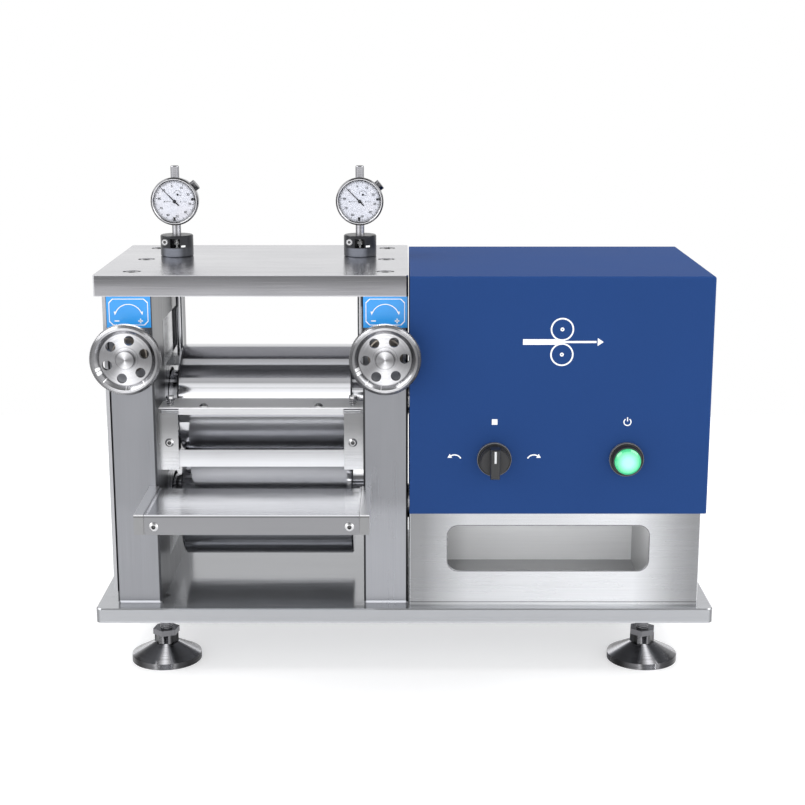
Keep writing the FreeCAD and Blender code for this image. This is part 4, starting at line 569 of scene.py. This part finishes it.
# fan-shaped painted highlights round each foot, with painted shade on faces that look left or right
dress(turned_steel("turned_foot_steel", (0.44, 0.44, 0.46), 0.20, feet_centres, "z", 1.0, 1700,
        0.35, painted_fans=(4, 0.26, 1.2, 6), lean=2.5, shading=foot_shading), "foot_pads")
# painted shade in four rings, from the boss out over the rim, and fan-shaped painted highlights on
# the face
wheel_steel = dress(turned_steel("turned_wheel_steel", (0.45, 0.45, 0.465), 0.22, screw_centres,
        "y", 1.5, 2300, 0.26, painted_shade_rings=((0.0074, 0.0078, 0.4), (0.0219, 0.0226, 0.3),
        (0.0258, 0.0273, 0.15), (0.0275, 0.0299, 0.4)), painted_fans=(2, 0.50, 1.1, 2)), "handwheel_left",
        "handwheel_right")
dress(turned_steel("lead_screw_steel", (0.5, 0.5, 0.51), 0.25, screw_centres, "y", 0.2, 2300, 0.2),
        "lead_screw_left", "lead_screw_right")
dress(turned_steel("bush_bronze", (0.15, 0.135, 0.12), 0.34, screw_centres, "y", 0.2, 2300, 0.2),
        "screw_bushes")
dress(turned_steel("black_anodised_holder", (0.034, 0.036, 0.042), 0.30,
        [(x, GAUGE_Y, 0) for x in GAUGES], "z", 0.14, 2300, 0.3, 0.55, shading=holder_shading),
        "gauge_holders")
# painted shade: darker rings round the outer and inner edges of the bezels
gauge_chrome = dress(turned_steel("satin_gauge_chrome", (0.54, 0.54, 0.56), 0.2, dial_centres, "y",
        0.5, 3000, 0.15, painted_shade_rings=((0.0204, 0.0217, 0.85), (0.0187, 0.0194, 0.8))),
        "gauge_bezel_left", "gauge_bezel_right")
dress(turned_steel("satin_gauge_steel", (0.58, 0.58, 0.61), 0.24, case_centres, "z", 0.08,
        700, 0.08, shading=case_shading), "gauge_cases")
# painted shade in the hexagon sockets
dress(turned_steel("button_screw_steel", (0.62, 0.62, 0.63), 0.2,
        [(MILL + x, 0, z) for x in (-0.0797, 0.0797) for z in (0.1566, 0.2020)], "y", 0.2, 2300,
        0.2, painted_shade_rings=((0.0, 0.0017, 0.85),)), "button_screws")
# painted shade in the hexagon socket and in a ring round it
dress(turned_steel("clamp_screw_steel", (0.60, 0.60, 0.61), 0.2, clamp_centres, "y", 0.2,
        2300, 0.2, painted_shade_rings=((0.0, 0.0013, 0.85), (0.0023, 0.0026, 0.5))), "gauge_clamp_screws")
# white, not metallic, so the plunger tips show bright in the slot's shade: painted light
tip_steel = dress(grained_steel("bright_plunger_tip", (0.92, 0.925, 0.93), 0.35, "z", 0.05, 0.06,
        0.06, metallic=0.0), "gauge_plunger_left", "gauge_plunger_right")
dress(roll_mirror("lapped_roll_steel", (0.60, 0.605, 0.63)), "lower_roll", "upper_roll")
dress(sealed_bearing("sealed_bearing", (0.5, 0.5, 0.52), (0.012, 0.012, 0.013)), "lower_bearings",
        "upper_bearings")
dress(powder_paint("royal_blue_powder_paint", (0.0130, 0.0475, 0.172), 0.62, gloss=0.10),
        "control_hood")
dress(powder_paint("motor_grey_paint", linear(92, 98, 104), 0.5), "gear_motor")
dress(sky_sign("sky_blue_sign", linear(42, 150, 228)), "direction_plates")
sign_white = printed_ink("white_sign_ink", (0.86, 0.87, 0.88))
dress(paper_dial("pale_dial", (0.80, 0.79, 0.84)), "gauge_dial_left", "gauge_dial_right")
dial_ink = printed_ink("black_dial_ink", (0.02, 0.02, 0.025), 0.5)
needle_black = dress(printed_ink("blued_needle", (0.012, 0.012, 0.016), 0.3), "gauge_needle_left",
        "gauge_needle_right")
dress(moulded_plastic("black_moulded_plastic", (0.018, 0.018, 0.02)), "power_inlet",
        "selector_bezel", "power_bezel", "selector_knob")
pale_plastic = moulded_plastic("pale_inlay_plastic", (0.62, 0.63, 0.65))
edge_plastic = moulded_plastic("grey_edge_plastic", (0.12, 0.12, 0.125), 0.25)
dress(lit_lens("lit_green_lens", linear(24, 150, 92), linear(150, 250, 205)), "power_button")
glass = watch_glass("gauge_crystal")


# --- mesh makers

def placed(name, data):
    """An object of the scene."""
    item = bpy.data.objects.new(name, data)
    bpy.context.scene.collection.objects.link(item)
    return item


def piece(name, shape, material, body):
    mesh = from_bmesh(name, shape) if isinstance(shape, bmesh.types.BMesh) else shape
    item = placed(name, mesh)
    mesh.materials.clear()
    mesh.materials.append(material)
    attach(item, body)


def mesh_of(name, work):
    mesh = bpy.data.meshes.new(name)
    work.to_mesh(mesh)
    work.free()
    return mesh


def from_bmesh(name, work, smooth=None):
    bmesh.ops.recalc_face_normals(work, faces=work.faces)
    mesh = mesh_of(name, work)
    if smooth is not None:
        mesh.shade_smooth()
        mesh.set_sharp_from_angle(angle=math.radians(smooth))
    return mesh


def skin(work, low, up):
    """Faces between two closed rows of points."""
    for n in range(len(low)):
        m = (n + 1) % len(low)
        work.faces.new((low[n], low[m], up[m], up[n]))


def slab(work, corners, low, high, place):
    """Flat piece between two levels; place turns (across, up, level) into a point."""
    bottom = [work.verts.new(place(x, z, low)) for x, z in corners]
    top = [work.verts.new(place(x, z, high)) for x, z in corners]
    work.faces.new(bottom)
    work.faces.new(top)
    skin(work, bottom, top)


def rectangle(left, right, low, high):
    return [(left, low), (right, low), (right, high), (left, high)]


def ribbon(work, inner, outer, low, high, place, closed=True):
    """Band between two lines of equal count, such as a frame or an arc."""
    rows = [[work.verts.new(place(x, z, level)) for x, z in line]
            for line, level in ((inner, low), (outer, low), (outer, high), (inner, high))]
    count = len(inner)
    for n in range(count if closed else count - 1):
        m = (n + 1) % count
        for a, b in ((0, 1), (1, 2), (2, 3), (3, 0)):
            work.faces.new((rows[a][n], rows[a][m], rows[b][m], rows[b][n]))
    if not closed:
        for n in (0, count - 1):
            work.faces.new([row[n] for row in rows])


def arc(middle, radius, start, stop, steps=32):
    """Points on an arc, angles in degrees, counted from X towards up."""
    angles = [math.radians(start + (stop - start) * n / steps) for n in range(steps + 1)]
    return [(middle[0] + radius * math.cos(a), middle[1] + radius * math.sin(a)) for a in angles]


def arc_band(work, middle, radius, width, start, stop, low, high, place, steps=32):
    whole = abs(stop - start) >= 360
    inner = arc(middle, radius - width / 2, start, stop, steps)
    outer = arc(middle, radius + width / 2, start, stop, steps)
    if whole:
        inner, outer = inner[:-1], outer[:-1]
    ribbon(work, inner, outer, low, high, place, whole)


def spun(name, profile, centre, steps=96):
    """Turned piece about Y from radius and level pairs; a closed section."""
    work = bmesh.new()
    rings = []
    for step in range(steps):
        angle = 2 * math.pi * step / steps
        rings.append([work.verts.new(Vector((radius * math.cos(angle), level,
                radius * math.sin(angle))) + Vector(centre)) for radius, level in profile])
    for step in range(steps):
        skin(work, rings[step], rings[(step + 1) % steps])
    bmesh.ops.remove_doubles(work, verts=work.verts, dist=1e-7)
    return from_bmesh(name, work, 35)


def front_of(y):
    """Places a flat drawing on a face that looks to the front."""
    return lambda across, up, level: (across, y - level, up)


def heading(angle):
    """Direction at an angle, and the one to its left."""
    ahead = Vector((math.cos(angle), math.sin(angle)))
    return ahead, Vector((-ahead.y, ahead.x))


def stroke(work, start, stop, wide, place):
    """Straight printed line."""
    run = (Vector(stop) - Vector(start)).normalized() * wide / 2
    aside = Vector((-run.y, run.x))
    corners = [Vector(start) - aside, Vector(start) + aside,
            Vector(stop) + aside, Vector(stop) - aside]
    slab(work, corners, *DIAL_INK, place)


def written(name, text, size, middle, y):
    """Number as a thin mesh that faces the front."""
    curve = bpy.data.curves.new(name, "FONT")
    curve.body, curve.size, curve.extrude, curve.offset = text, size, 0.00006, size * 0.02
    curve.align_x, curve.align_y = "CENTER", "CENTER"
    holder = placed(name, curve)
    bpy.context.view_layer.update()
    mesh = bpy.data.meshes.new_from_object(holder)
    bpy.data.objects.remove(holder)
    bpy.data.curves.remove(curve)
    mesh.transform(turn_to_front(middle[0], y, middle[1]))
    return mesh


def joined(name, meshes):
    work = bmesh.new()
    for mesh in meshes:
        work.from_mesh(mesh)
        bpy.data.meshes.remove(mesh)
    return mesh_of(name, work)


# --- patterns by geometry nodes

class Pattern(Tree):
    """A geometry tree with named sizes; bake() gives the plain mesh it makes."""

    def __init__(self, name, **sizes):
        super().__init__(bpy.data.node_groups.new(name, "GeometryNodeTree"))
        self.sizes = sizes
        sides = self.tree.interface
        sides.new_socket("Geometry", in_out="INPUT", socket_type="NodeSocketGeometry")
        for label, size in sizes.items():
            kind = "NodeSocketInt" if isinstance(size, int) else "NodeSocketFloat"
            sides.new_socket(label, in_out="INPUT", socket_type=kind)
        sides.new_socket("Geometry", in_out="OUTPUT", socket_type="NodeSocketGeometry")
        self.start = self.tree.nodes.new("NodeGroupInput")
        self.end = self.tree.nodes.new("NodeGroupOutput")

    def size(self, label):
        return self.start.outputs[label]

    def node(self, kind, settings=None, feeds=None, output=0):
        return self.make(kind, settings, feeds).outputs[output]

    def maths(self, operation, first, second=0.0):
        return self.node("ShaderNodeMath", {"operation": operation}, {0: first, 1: second})

    def stand(self, points, item, turn):
        """One item on each point."""
        return self.node("GeometryNodeInstanceOnPoints", None, {"Points": points, "Instance": item,
                "Rotation": turn})

    def bake(self, shape, material, name, place=Matrix.Identity(4)):
        real = self.node("GeometryNodeRealizeInstances", None, {"Geometry": shape})
        dressed = self.node("GeometryNodeSetMaterial", None, {"Geometry": real,
                "Material": material})
        self.tree.links.new(dressed, self.end.inputs[0])
        holder = placed(name, bpy.data.meshes.new(name))
        modifier = holder.modifiers.new("pattern", "NODES")
        modifier.node_group = self.tree
        for item in self.tree.interface.items_tree:
            if item.in_out == "INPUT" and item.name in self.sizes:
                modifier[item.identifier] = self.sizes[item.name]
        bpy.context.view_layer.update()
        seen = holder.evaluated_get(bpy.context.evaluated_depsgraph_get())
        mesh = bpy.data.meshes.new_from_object(seen)
        holder.modifiers.clear()
        bpy.data.objects.remove(holder)
        mesh.transform(place)
        return mesh


def round_points(tree, count, angle, level=0.0):
    """One point for each number of a line, round Z at the tree's Radius."""
    line = tree.node("GeometryNodeMeshLine", None, {"Count": count, "Offset": (0, 0, 0)})
    across = tree.maths("MULTIPLY", tree.maths("COSINE", angle), tree.size("Radius"))
    along = tree.maths("MULTIPLY", tree.maths("SINE", angle), tree.size("Radius"))
    spot = tree.combine(across, along, level)
    return tree.node("GeometryNodeSetPosition", None, {"Geometry": line, "Position": spot})


def ring_of_bars(name, material, place, **sizes):
    """Bars round a circle in the XY plane, such as dial ticks or straight knurls."""
    tree = Pattern(name, **sizes)
    count = tree.size("Count")
    share = tree.maths("DIVIDE", tree.node("GeometryNodeInputIndex"), count)
    angle = tree.maths("ADD", tree.maths("MULTIPLY", share, 2 * math.pi), tree.size("Start"))
    points = round_points(tree, count, angle)
    shape = tree.combine(tree.size("Long"), tree.size("Wide"), tree.size("High"))
    bar = tree.node("GeometryNodeMeshCube", None, {"Size": shape})
    return tree.bake(tree.stand(points, bar, tree.combine(z=angle)), material, name, place)


def knurled_band(name, material, place, **sizes):
    """Staggered pyramids over a cylinder about Z: a diamond knurl."""
    tree = Pattern(name, **sizes)
    rows, count = tree.size("Rows"), tree.size("Count")
    number = tree.node("GeometryNodeInputIndex")
    row = tree.maths("FLOOR", tree.maths("DIVIDE", number, count))
    step = tree.maths("ADD", tree.maths("MODULO", number, count), tree.maths("MULTIPLY",
            tree.maths("MODULO", row, 2.0), 0.5))
    angle = tree.maths("MULTIPLY", tree.maths("DIVIDE", step, count), 2 * math.pi)
    level = tree.maths("MULTIPLY", row, tree.size("Pitch"))
    points = round_points(tree, tree.maths("MULTIPLY", rows, count), angle, level)
    tooth = tree.node("GeometryNodeMeshCone", {"fill_type": "NONE"},
            {"Vertices": 4, "Radius Top": 0.0, "Radius Bottom": tree.size("Tooth"),
            "Depth": tree.size("High")})
    teeth = tree.stand(points, tooth, tree.combine(y=math.pi / 2, z=angle))
    return tree.bake(teeth, material, name, place)


def thread_ridge(name, material, place, **sizes):
    """Raised thread about Z, wound from the bottom up."""
    tree = Pattern(name, **sizes)
    line = tree.node("GeometryNodeCurveSpiral", None, {"Resolution": 28,
            "Rotations": tree.size("Turns"), "Start Radius": tree.size("Radius"),
            "End Radius": tree.size("Radius"), "Height": tree.size("High")})
    section = tree.node("GeometryNodeCurvePrimitiveCircle", {"mode": "RADIUS"}, {"Resolution": 4,
            "Radius": tree.size("Tooth")})
    ridge = tree.node("GeometryNodeCurveToMesh", None, {"Curve": line, "Profile Curve": section,
            "Fill Caps": True})
    return tree.bake(ridge, material, name, place)


def turn_to_front(x, y, z):
    """Moves a pattern made about Z so that it faces the front at a point."""
    return Matrix.Translation((x, y, z)) @ Matrix.Rotation(math.pi / 2, 4, "X")


# --- handwheels

# bright steel for the painted highlights on the graduations
graduation_glint = grained_steel("bright_graduation", (0.92, 0.92, 0.93), 0.35, "z", 0.05, 0.05, 0.1)

# Angles, in degrees, of the graduations drawn as painted highlights, where they catch the light.
WHEEL_MARKS = {"left": (225, 270, 308), "right": (200, 232, 262, 300)}


def dress_handwheels():
    for name, x in zip(("left", "right"), COLUMNS):
        body = "wheel_set_" + name
        knurl = knurled_band("wheel_knurl_" + name, wheel_steel, turn_to_front(x, -0.0877, SCREW_Z),
                Count=110, Rows=3, Radius=0.02955, Pitch=0.0012, Tooth=0.0010, High=0.0008)
        piece("wheel_knurl_" + name, knurl, wheel_steel, body)
        marks = bmesh.new()
        for angle in WHEEL_MARKS[name]:
            wheel_mark(marks, x, math.radians(angle), 0.00045)
        for angle in (199, 207):
            wheel_mark(marks, x, math.radians(angle), 0.0014)
        piece("wheel_marks_" + name, marks, graduation_glint, body)


def wheel_mark(work, x, angle, half):
    """Graduation drawn as a painted highlight across the cone of a handwheel's rim."""
    out, side = heading(angle)
    path = [(0.0226, -0.08905), (0.0256, -0.09235), (0.0262, -0.0927)]
    rows = []
    for radius, y in path:
        for lift in (-0.0002, 0.00008):
            rows.append([work.verts.new((x + p.x, y - lift, SCREW_Z + p.y))
                    for p in (out * radius - side * half, out * radius + side * half)])
    (a, b), (c, d), (e, f), (g, h), (i, j), (k, l) = rows
    for face in ((a, b, d, c), (k, l, j, i), (c, d, h, g), (g, h, l, k), (a, e, f, b),
            (e, i, j, f), (a, c, g, e), (e, g, k, i), (b, f, h, d), (f, j, l, h)):
        work.faces.new(face)


# --- direction signs

def dress_signs():
    for name, middle in zip(("left", "right"), COLUMNS):
        work = bmesh.new()
        ink = (*SIGN_INK, front_of(-0.0657))
        left, right, low, high, cut = middle - 0.0166, middle + 0.0166, 0.3080, 0.3308, 0.0032

        def frame_line(inset):
            l, r, b, t = left + inset, right - inset, low + inset, high - inset
            return [(l, b + cut), (l + cut, b), (r - cut, b), (r, b + cut), (r, t - cut),
                    (r - cut, t), (l + cut, t), (l, t - cut)]

        ribbon(work, frame_line(0.0006), frame_line(0.0), *ink)
        hub = (middle, 0.3142)
        arc_band(work, hub, 0.0118, 0.0007, 28, 152, *ink)
        for side in (-1, 1):
            tip = arc(hub, 0.0118, 90 - side * 70, 90 - side * 70, 1)[0]
            slab(work, [(tip[0] - 0.0013, tip[1] + 0.0016), (tip[0] + 0.0013, tip[1] + 0.0016),
                    (tip[0] + side * 0.0005, tip[1] - 0.0014)], *ink)
        for side in (-1, 1):
            spot = middle + side * 0.0100
            marks = [(0.0020, 0.0005)] if side < 0 else [(0.0020, 0.0005), (0.0005, 0.0020)]
            for wide, tall in marks:
                slab(work, rectangle(spot - wide, spot + wide, 0.3118 - tall, 0.3118 + tall), *ink)
        piece("direction_marks_" + name, work, sign_white, "machine_frame")


# --- dial gauges

DIAL_TURN = math.radians(8.5)       # how far the bezels have been set round


def holder_face(x):
    """Places a drawing round the front of a gauge holder."""
    def place(across, up, level):
        turn, radius = across / HOLDER_RADIUS, HOLDER_RADIUS + level
        return (x + radius * math.sin(turn), GAUGE_Y - radius * math.cos(turn), up)
    return place


def dress_gauges():
    for name, x in zip(("left", "right"), GAUGES):
        body = "bezel_set_" + name
        face = turn_to_front(x, DIAL_Y, GAUGE_Z)
        top = DIAL_TURN + math.pi / 2
        fine = ring_of_bars("dial_fine_ticks_" + name, dial_ink, face, Count=100, Start=DIAL_TURN,
                Radius=0.0175, Long=0.0014, Wide=0.00016, High=0.00008)
        bold = ring_of_bars("dial_bold_ticks_" + name, dial_ink, face, Count=20, Start=top,
                Radius=0.0170, Long=0.0024, Wide=0.00034, High=0.00008)
        numbers = []
        for step in range(10):
            turn = top - step * math.pi / 5
            spot = (x + 0.0138 * math.cos(turn), GAUGE_Z + 0.0138 * math.sin(turn))
            numbers.append(written("dial_number", str(step * 10), 0.0029, spot, DIAL_Y))
        work = bmesh.new()
        place = front_of(0.0552)
        small = (x + 0.0029, GAUGE_Z + 0.0061)
        arc_band(work, small, 0.0037, 0.00014, 20, 160, *DIAL_INK, place)
        for angle in range(20, 161, 20):
            inner, outer = [arc(small, radius, angle, angle, 1)[0] for radius in (0.0030, 0.0037)]
            stroke(work, inner, outer, 0.00018, place)
        stroke(work, small, (small[0] + 0.0033, small[1] - 0.0007), 0.0004, place)
        arc_band(work, small, 0.0005, 0.0010, 0, 360, -0.00002, 0.0002, place, 16)
        for start, stop, thick in ((-0.0098, -0.0088, 0.0009), (-0.0088, -0.0034, 0.0003),
                (0.0050, 0.0059, 0.0007), (0.0072, 0.0108, 0.0003)):
            stroke(work, (x + start, GAUGE_Z - 0.0003), (x + stop, GAUGE_Z - 0.0003), thick, place)
        marks = from_bmesh("dial_marks", work)
        piece("dial_print_" + name, joined("dial_print_" + name, [fine, bold, marks] + numbers),
                dial_ink, body)
        index = bmesh.new()
        line = [0.0057 + 0.0010 * n for n in range(5)]
        ribbon(index, [(a, 0.3597) for a in line], [(a, 0.3613) for a in line], -0.0002, 0.0003,
                holder_face(x), False)
        piece("gauge_index_" + name, index, tip_steel, "machine_frame")
        crystal = spun("gauge_crystal_" + name, [(0.0, 0.05335), (0.0095, 0.05345),
                (0.0165, 0.0538), (0.0188, 0.0543), (0.0188, 0.0546), (0.0165, 0.0541),
                (0.0095, 0.05375), (0.0, 0.05365)], (x, 0, GAUGE_Z))
        piece("gauge_crystal_" + name, crystal, glass, body)
        limits = bmesh.new()
        for angle, reach in ((7, 0.0170), (268, 0.0160)):
            outward, side = heading(math.radians(angle))
            middle = Vector((x, GAUGE_Z)) + outward * reach
            corners = [middle + outward * a * 0.0017 + side * b * 0.0010
                    for a, b in ((-1, -1), (-1, 1), (1, 1), (1, -1))]
            slab(limits, corners, 0.0, 0.0005, front_of(0.0549))
        piece("limit_marks_" + name, limits, needle_black, body)
        rim = ring_of_bars("bezel_knurl_" + name, gauge_chrome, turn_to_front(x, 0.0562, GAUGE_Z),
                Count=120, Start=0.0, Radius=0.02145, Long=0.0005, Wide=0.0006, High=0.0030)
        piece("bezel_knurl_" + name, rim, gauge_chrome, body)


# --- control panel

def dress_panel():
    ink = (*PANEL_INK, front_of(PANEL_Y))
    work = bmesh.new()
    x, z = SELECTOR
    stop = z + 0.0326
    slab(work, rectangle(x - 0.0024, x + 0.0024, stop - 0.0024, stop + 0.0024), *ink)
    for side, middle in ((-1, x - 0.0340), (1, x + 0.0340)):
        arrow_head(work, middle, z + 0.0014, side, ink)
    power = (BUTTON[0], z + 0.0326)
    arc_band(work, power, 0.0030, 0.0009, 125, 415, *ink)
    slab(work, rectangle(power[0] - 0.00045, power[0] + 0.00045, power[1] + 0.0006,
            power[1] + 0.0042), *ink)
    roll_pictogram(work, 0.133, 0.295, ink)
    piece("panel_print", work, sign_white, "machine_frame")


def arrow_head(work, x, z, side, ink):
    """Curved run with a solid head: which way the rolls go."""
    start, stop = (150, 60) if side > 0 else (30, 120)
    arc_band(work, (x, z - 0.0040), 0.0062, 0.0011, start, stop, *ink)
    tip = arc((x, z - 0.0040), 0.0062, stop, stop, 1)[0]
    ahead, aside = heading(math.radians(stop + (-90 if side > 0 else 90)))
    middle = Vector(tip)
    corners = [middle + aside * 0.0020, middle - aside * 0.0020, middle + ahead * 0.0034]
    slab(work, corners, *ink)


def roll_pictogram(work, x, z, ink):
    """Two rolls with a strip between them."""
    for level in (0.0108, -0.0108):
        arc_band(work, (x, z + level), 0.0092, 0.0013, 0, 360, *ink, 64)
        arc_band(work, (x, z + level), 0.0011, 0.0011, 0, 360, *ink, 24)
    strip = [(x - 0.0330, z + 0.0024), (x - 0.0060, z + 0.0024), (x, z + 0.0009),
            (x + 0.0290, z + 0.0009), (x + 0.0290, z - 0.0009), (x, z - 0.0009),
            (x - 0.0060, z - 0.0024), (x - 0.0330, z - 0.0024)]
    slab(work, strip, *ink)
    slab(work, [(x + 0.0300, z - 0.0034), (x + 0.0300, z + 0.0034), (x + 0.0350, z)], *ink)


def dress_controls():
    x, z = SELECTOR
    work = bmesh.new()
    slab(work, rectangle(x - 0.0009, x + 0.0009, z + 0.0015, z + 0.0118), -0.0004, 0.00012,
            front_of(-0.0937))
    piece("selector_line", work, pale_plastic, "selector_set")
    for name, (x, z) in (("selector", SELECTOR), ("power", BUTTON)):
        ring = spun(name + "_edge_ring", [(0.01415, -0.07545), (0.01415, -0.0757),
                (0.0146, -0.0756), (0.0148, -0.0750), (0.0148, -0.0726), (0.0144, -0.0726)],
                (x, 0, z))
        piece(name + "_edge_ring", ring, edge_plastic, "machine_frame")


# --- fixings and threads

def screw_mesh(name, spots, outward, radius, high):
    """Button head screws with hexagon sockets, seated on a face that looks outward."""
    work, steps = bmesh.new(), 24
    turn = Vector((0, 0, 1)).rotation_difference(Vector(outward)).to_matrix()
    angles = [2 * math.pi * n / steps for n in range(steps)]
    sixth = math.pi / 6
    hexagon = [0.40 * radius / math.cos((a + sixth) % (math.pi / 3) - sixth) for a in angles]
    head = ((1.0, -0.0002), (1.0, high * 0.25), (0.86, high * 0.7), (0.62, high * 0.95),
            (0.45, high))
    rows = [([reach * radius] * steps, level) for reach, level in head]
    rows += [(hexagon, high), (hexagon, high * 0.35)]
    for spot in spots:
        rings = []
        for reaches, level in rows:
            points = [(r * math.cos(a), r * math.sin(a), level) for r, a in zip(reaches, angles)]
            rings.append([work.verts.new(Vector(spot) + turn @ Vector(p)) for p in points])
        for low, up in zip(rings, rings[1:]):
            skin(work, low, up)
        work.faces.new(rings[0])
        work.faces.new(rings[-1])
    return from_bmesh(name, work, 40)


def rounded_outline(outset):
    """Outline of the tool window, or one that lies outset from it."""
    left, right, low, high = TOOL_WINDOW
    r, line = WINDOW_ROUND, []
    for x, z, start in ((right - r, high - r, 0), (left + r, high - r, 90),
            (left + r, low + r, 180), (right - r, low + r, 270)):
        line += arc((x, z), r + outset, start, start + 90, 12)
    return line


def dress_fixings():
    cover = [(-0.2551, y, z) for y in (-0.050, 0.124) for z in (0.085, 0.318)]
    side = [(0.2613, y, 0.152) for y in (-0.045, 0.029, 0.103)]
    back = [(x, 0.1301, 0.152) for x in (0.030, 0.130, 0.190)]
    for name, spots, outward, radius, high in (("cover_screws", cover, (-1, 0, 0), 0.0042, 0.0024),
            ("hood_side_screws", side, (1, 0, 0), 0.0036, 0.0020),
            ("hood_back_screws", back, (0, 1, 0), 0.0036, 0.0020)):
        piece(name, screw_mesh(name, spots, outward, radius, high), small_steel, "machine_frame")
    # the cut edge round the tool window, darkened, with a dark band 0.7 mm wide on the front beside
    # it: painted shade
    work = bmesh.new()
    ribbon(work, rounded_outline(0.0000), rounded_outline(0.0007), -0.0006, 0.0001,
            front_of(-0.0719))
    piece("window_edge", work, window_shade_steel, "machine_frame")
    threads = []
    for x, y, z in feet_centres:
        threads.append(thread_ridge("foot_thread", lock_nut_steel,
                Matrix.Translation((x, y, 0.0292)), Turns=10.0, Radius=0.0050, High=0.0165,
                Tooth=0.0006))
    piece("foot_threads", joined("foot_threads", threads), lock_nut_steel, "machine_frame")


# --- studio

def plain_material(name, tone, glow):
    finish = Finish(name, Emission_Strength=glow)
    clouds = finish.noise(2)
    return finish.coat(tone, 1 + (clouds - 0.5) * 0.02, Roughness=0.6 + clouds * 0.05)


def sheet_object(name, corners, material):
    work = bmesh.new()
    work.faces.new([work.verts.new(corner) for corner in corners])
    mesh = mesh_of(name, work)
    mesh.materials.append(material)
    placed(name, mesh)


def soft_light(name, place, aim, wide, tall, power, seen=True):
    lamp = bpy.data.lights.new(name, "AREA")
    lamp.shape, lamp.size, lamp.size_y, lamp.energy = "RECTANGLE", wide, tall, power
    item = placed(name, lamp)
    item.location, item.visible_camera = place, seen
    item.rotation_euler = (Vector(aim) - Vector(place)).to_track_quat("-Z", "Y").to_euler()


def studio_air():
    """White low down under a darker ceiling; in front brighter, in soft bands."""
    world = bpy.data.worlds.new("studio_air")
    world.use_nodes = True
    wires = Wiring(world.node_tree)
    x, y, z = wires.axes(Wire(wires, wires.coords.outputs["Generated"]))
    height = z.math("ARCSINE") * (2 / math.pi)
    back = wires.ramp(height, [(0.0, 1.0), (0.25, 1.0), (0.38, 0.20), (1.0, 0.18)])
    ahead = wires.ramp(height, [(0.0, 2.0), (0.16, 2.0), (0.28, 1.5), (0.335, 1.4), (0.35, 0.7),
            (0.365, 1.4), (0.44, 1.2), (0.48, 0.55), (0.52, 0.7), (0.60, 0.65), (0.70, 0.30),
            (1.0, 0.18)])
    light = wires.mix(y.band(-0.25, 0.25), ahead, back)
    air = world.node_tree.nodes["Background"]
    world.node_tree.links.new(light.socket, air.inputs[0])
    bpy.context.scene.world = world


def make_studio():
    studio_air()
    bpy.context.scene.view_settings.view_transform = "Standard"
    pale = plain_material("pale_floor", (0.64, 0.64, 0.645), glow=0.45)
    sheet_object("studio_floor", [(-3, -5, 0), (3, -5, 0), (3, 0.9, 0), (-3, 0.9, 0)], pale)
    soft_light("ceiling_strip", (0.0, 0.11, 1.75), (0, 0.11, 0), 2.6, 0.34, 2.8)
    soft_light("roll_kicker", (MILL, 0.012, 0.3312), (MILL, 0.012, 0.2), 0.168, 0.026, 0.0075,
            False)
    soft_light("nip_kicker", (MILL, -0.040, 0.2255), (MILL, -0.012, 0.190), 0.150, 0.006, 0.0090,
            False)
    soft_light("window_lamp", (0.125, -0.060, 0.1318), (0.125, 0.039, 0.090), 0.165, 0.010, 0.058,
            False)
    soft_light("left_softbox", (-1.35, 0.15, 1.35), (-0.15, 0.15, 0.0), 1.2, 1.3, 21)
    soft_light("right_softbox", (1.35, 0.15, 1.35), (0.15, 0.15, 0.0), 1.2, 1.3, 20)


def make_camera():
    lens = bpy.data.cameras.new("camera")
    lens.sensor_width, lens.lens = SENSOR_MM, FOCAL_PX / FRAME_PX * SENSOR_MM
    item = placed("camera", lens)
    item.location = (-0.0016, -1.3672, 0.5385)
    item.rotation_euler = (math.radians(77.13), 0, 0)
    bpy.context.scene.camera = item


dress_handwheels()
dress_signs()
dress_gauges()
dress_panel()
dress_controls()
dress_fixings()
make_studio()
make_camera()
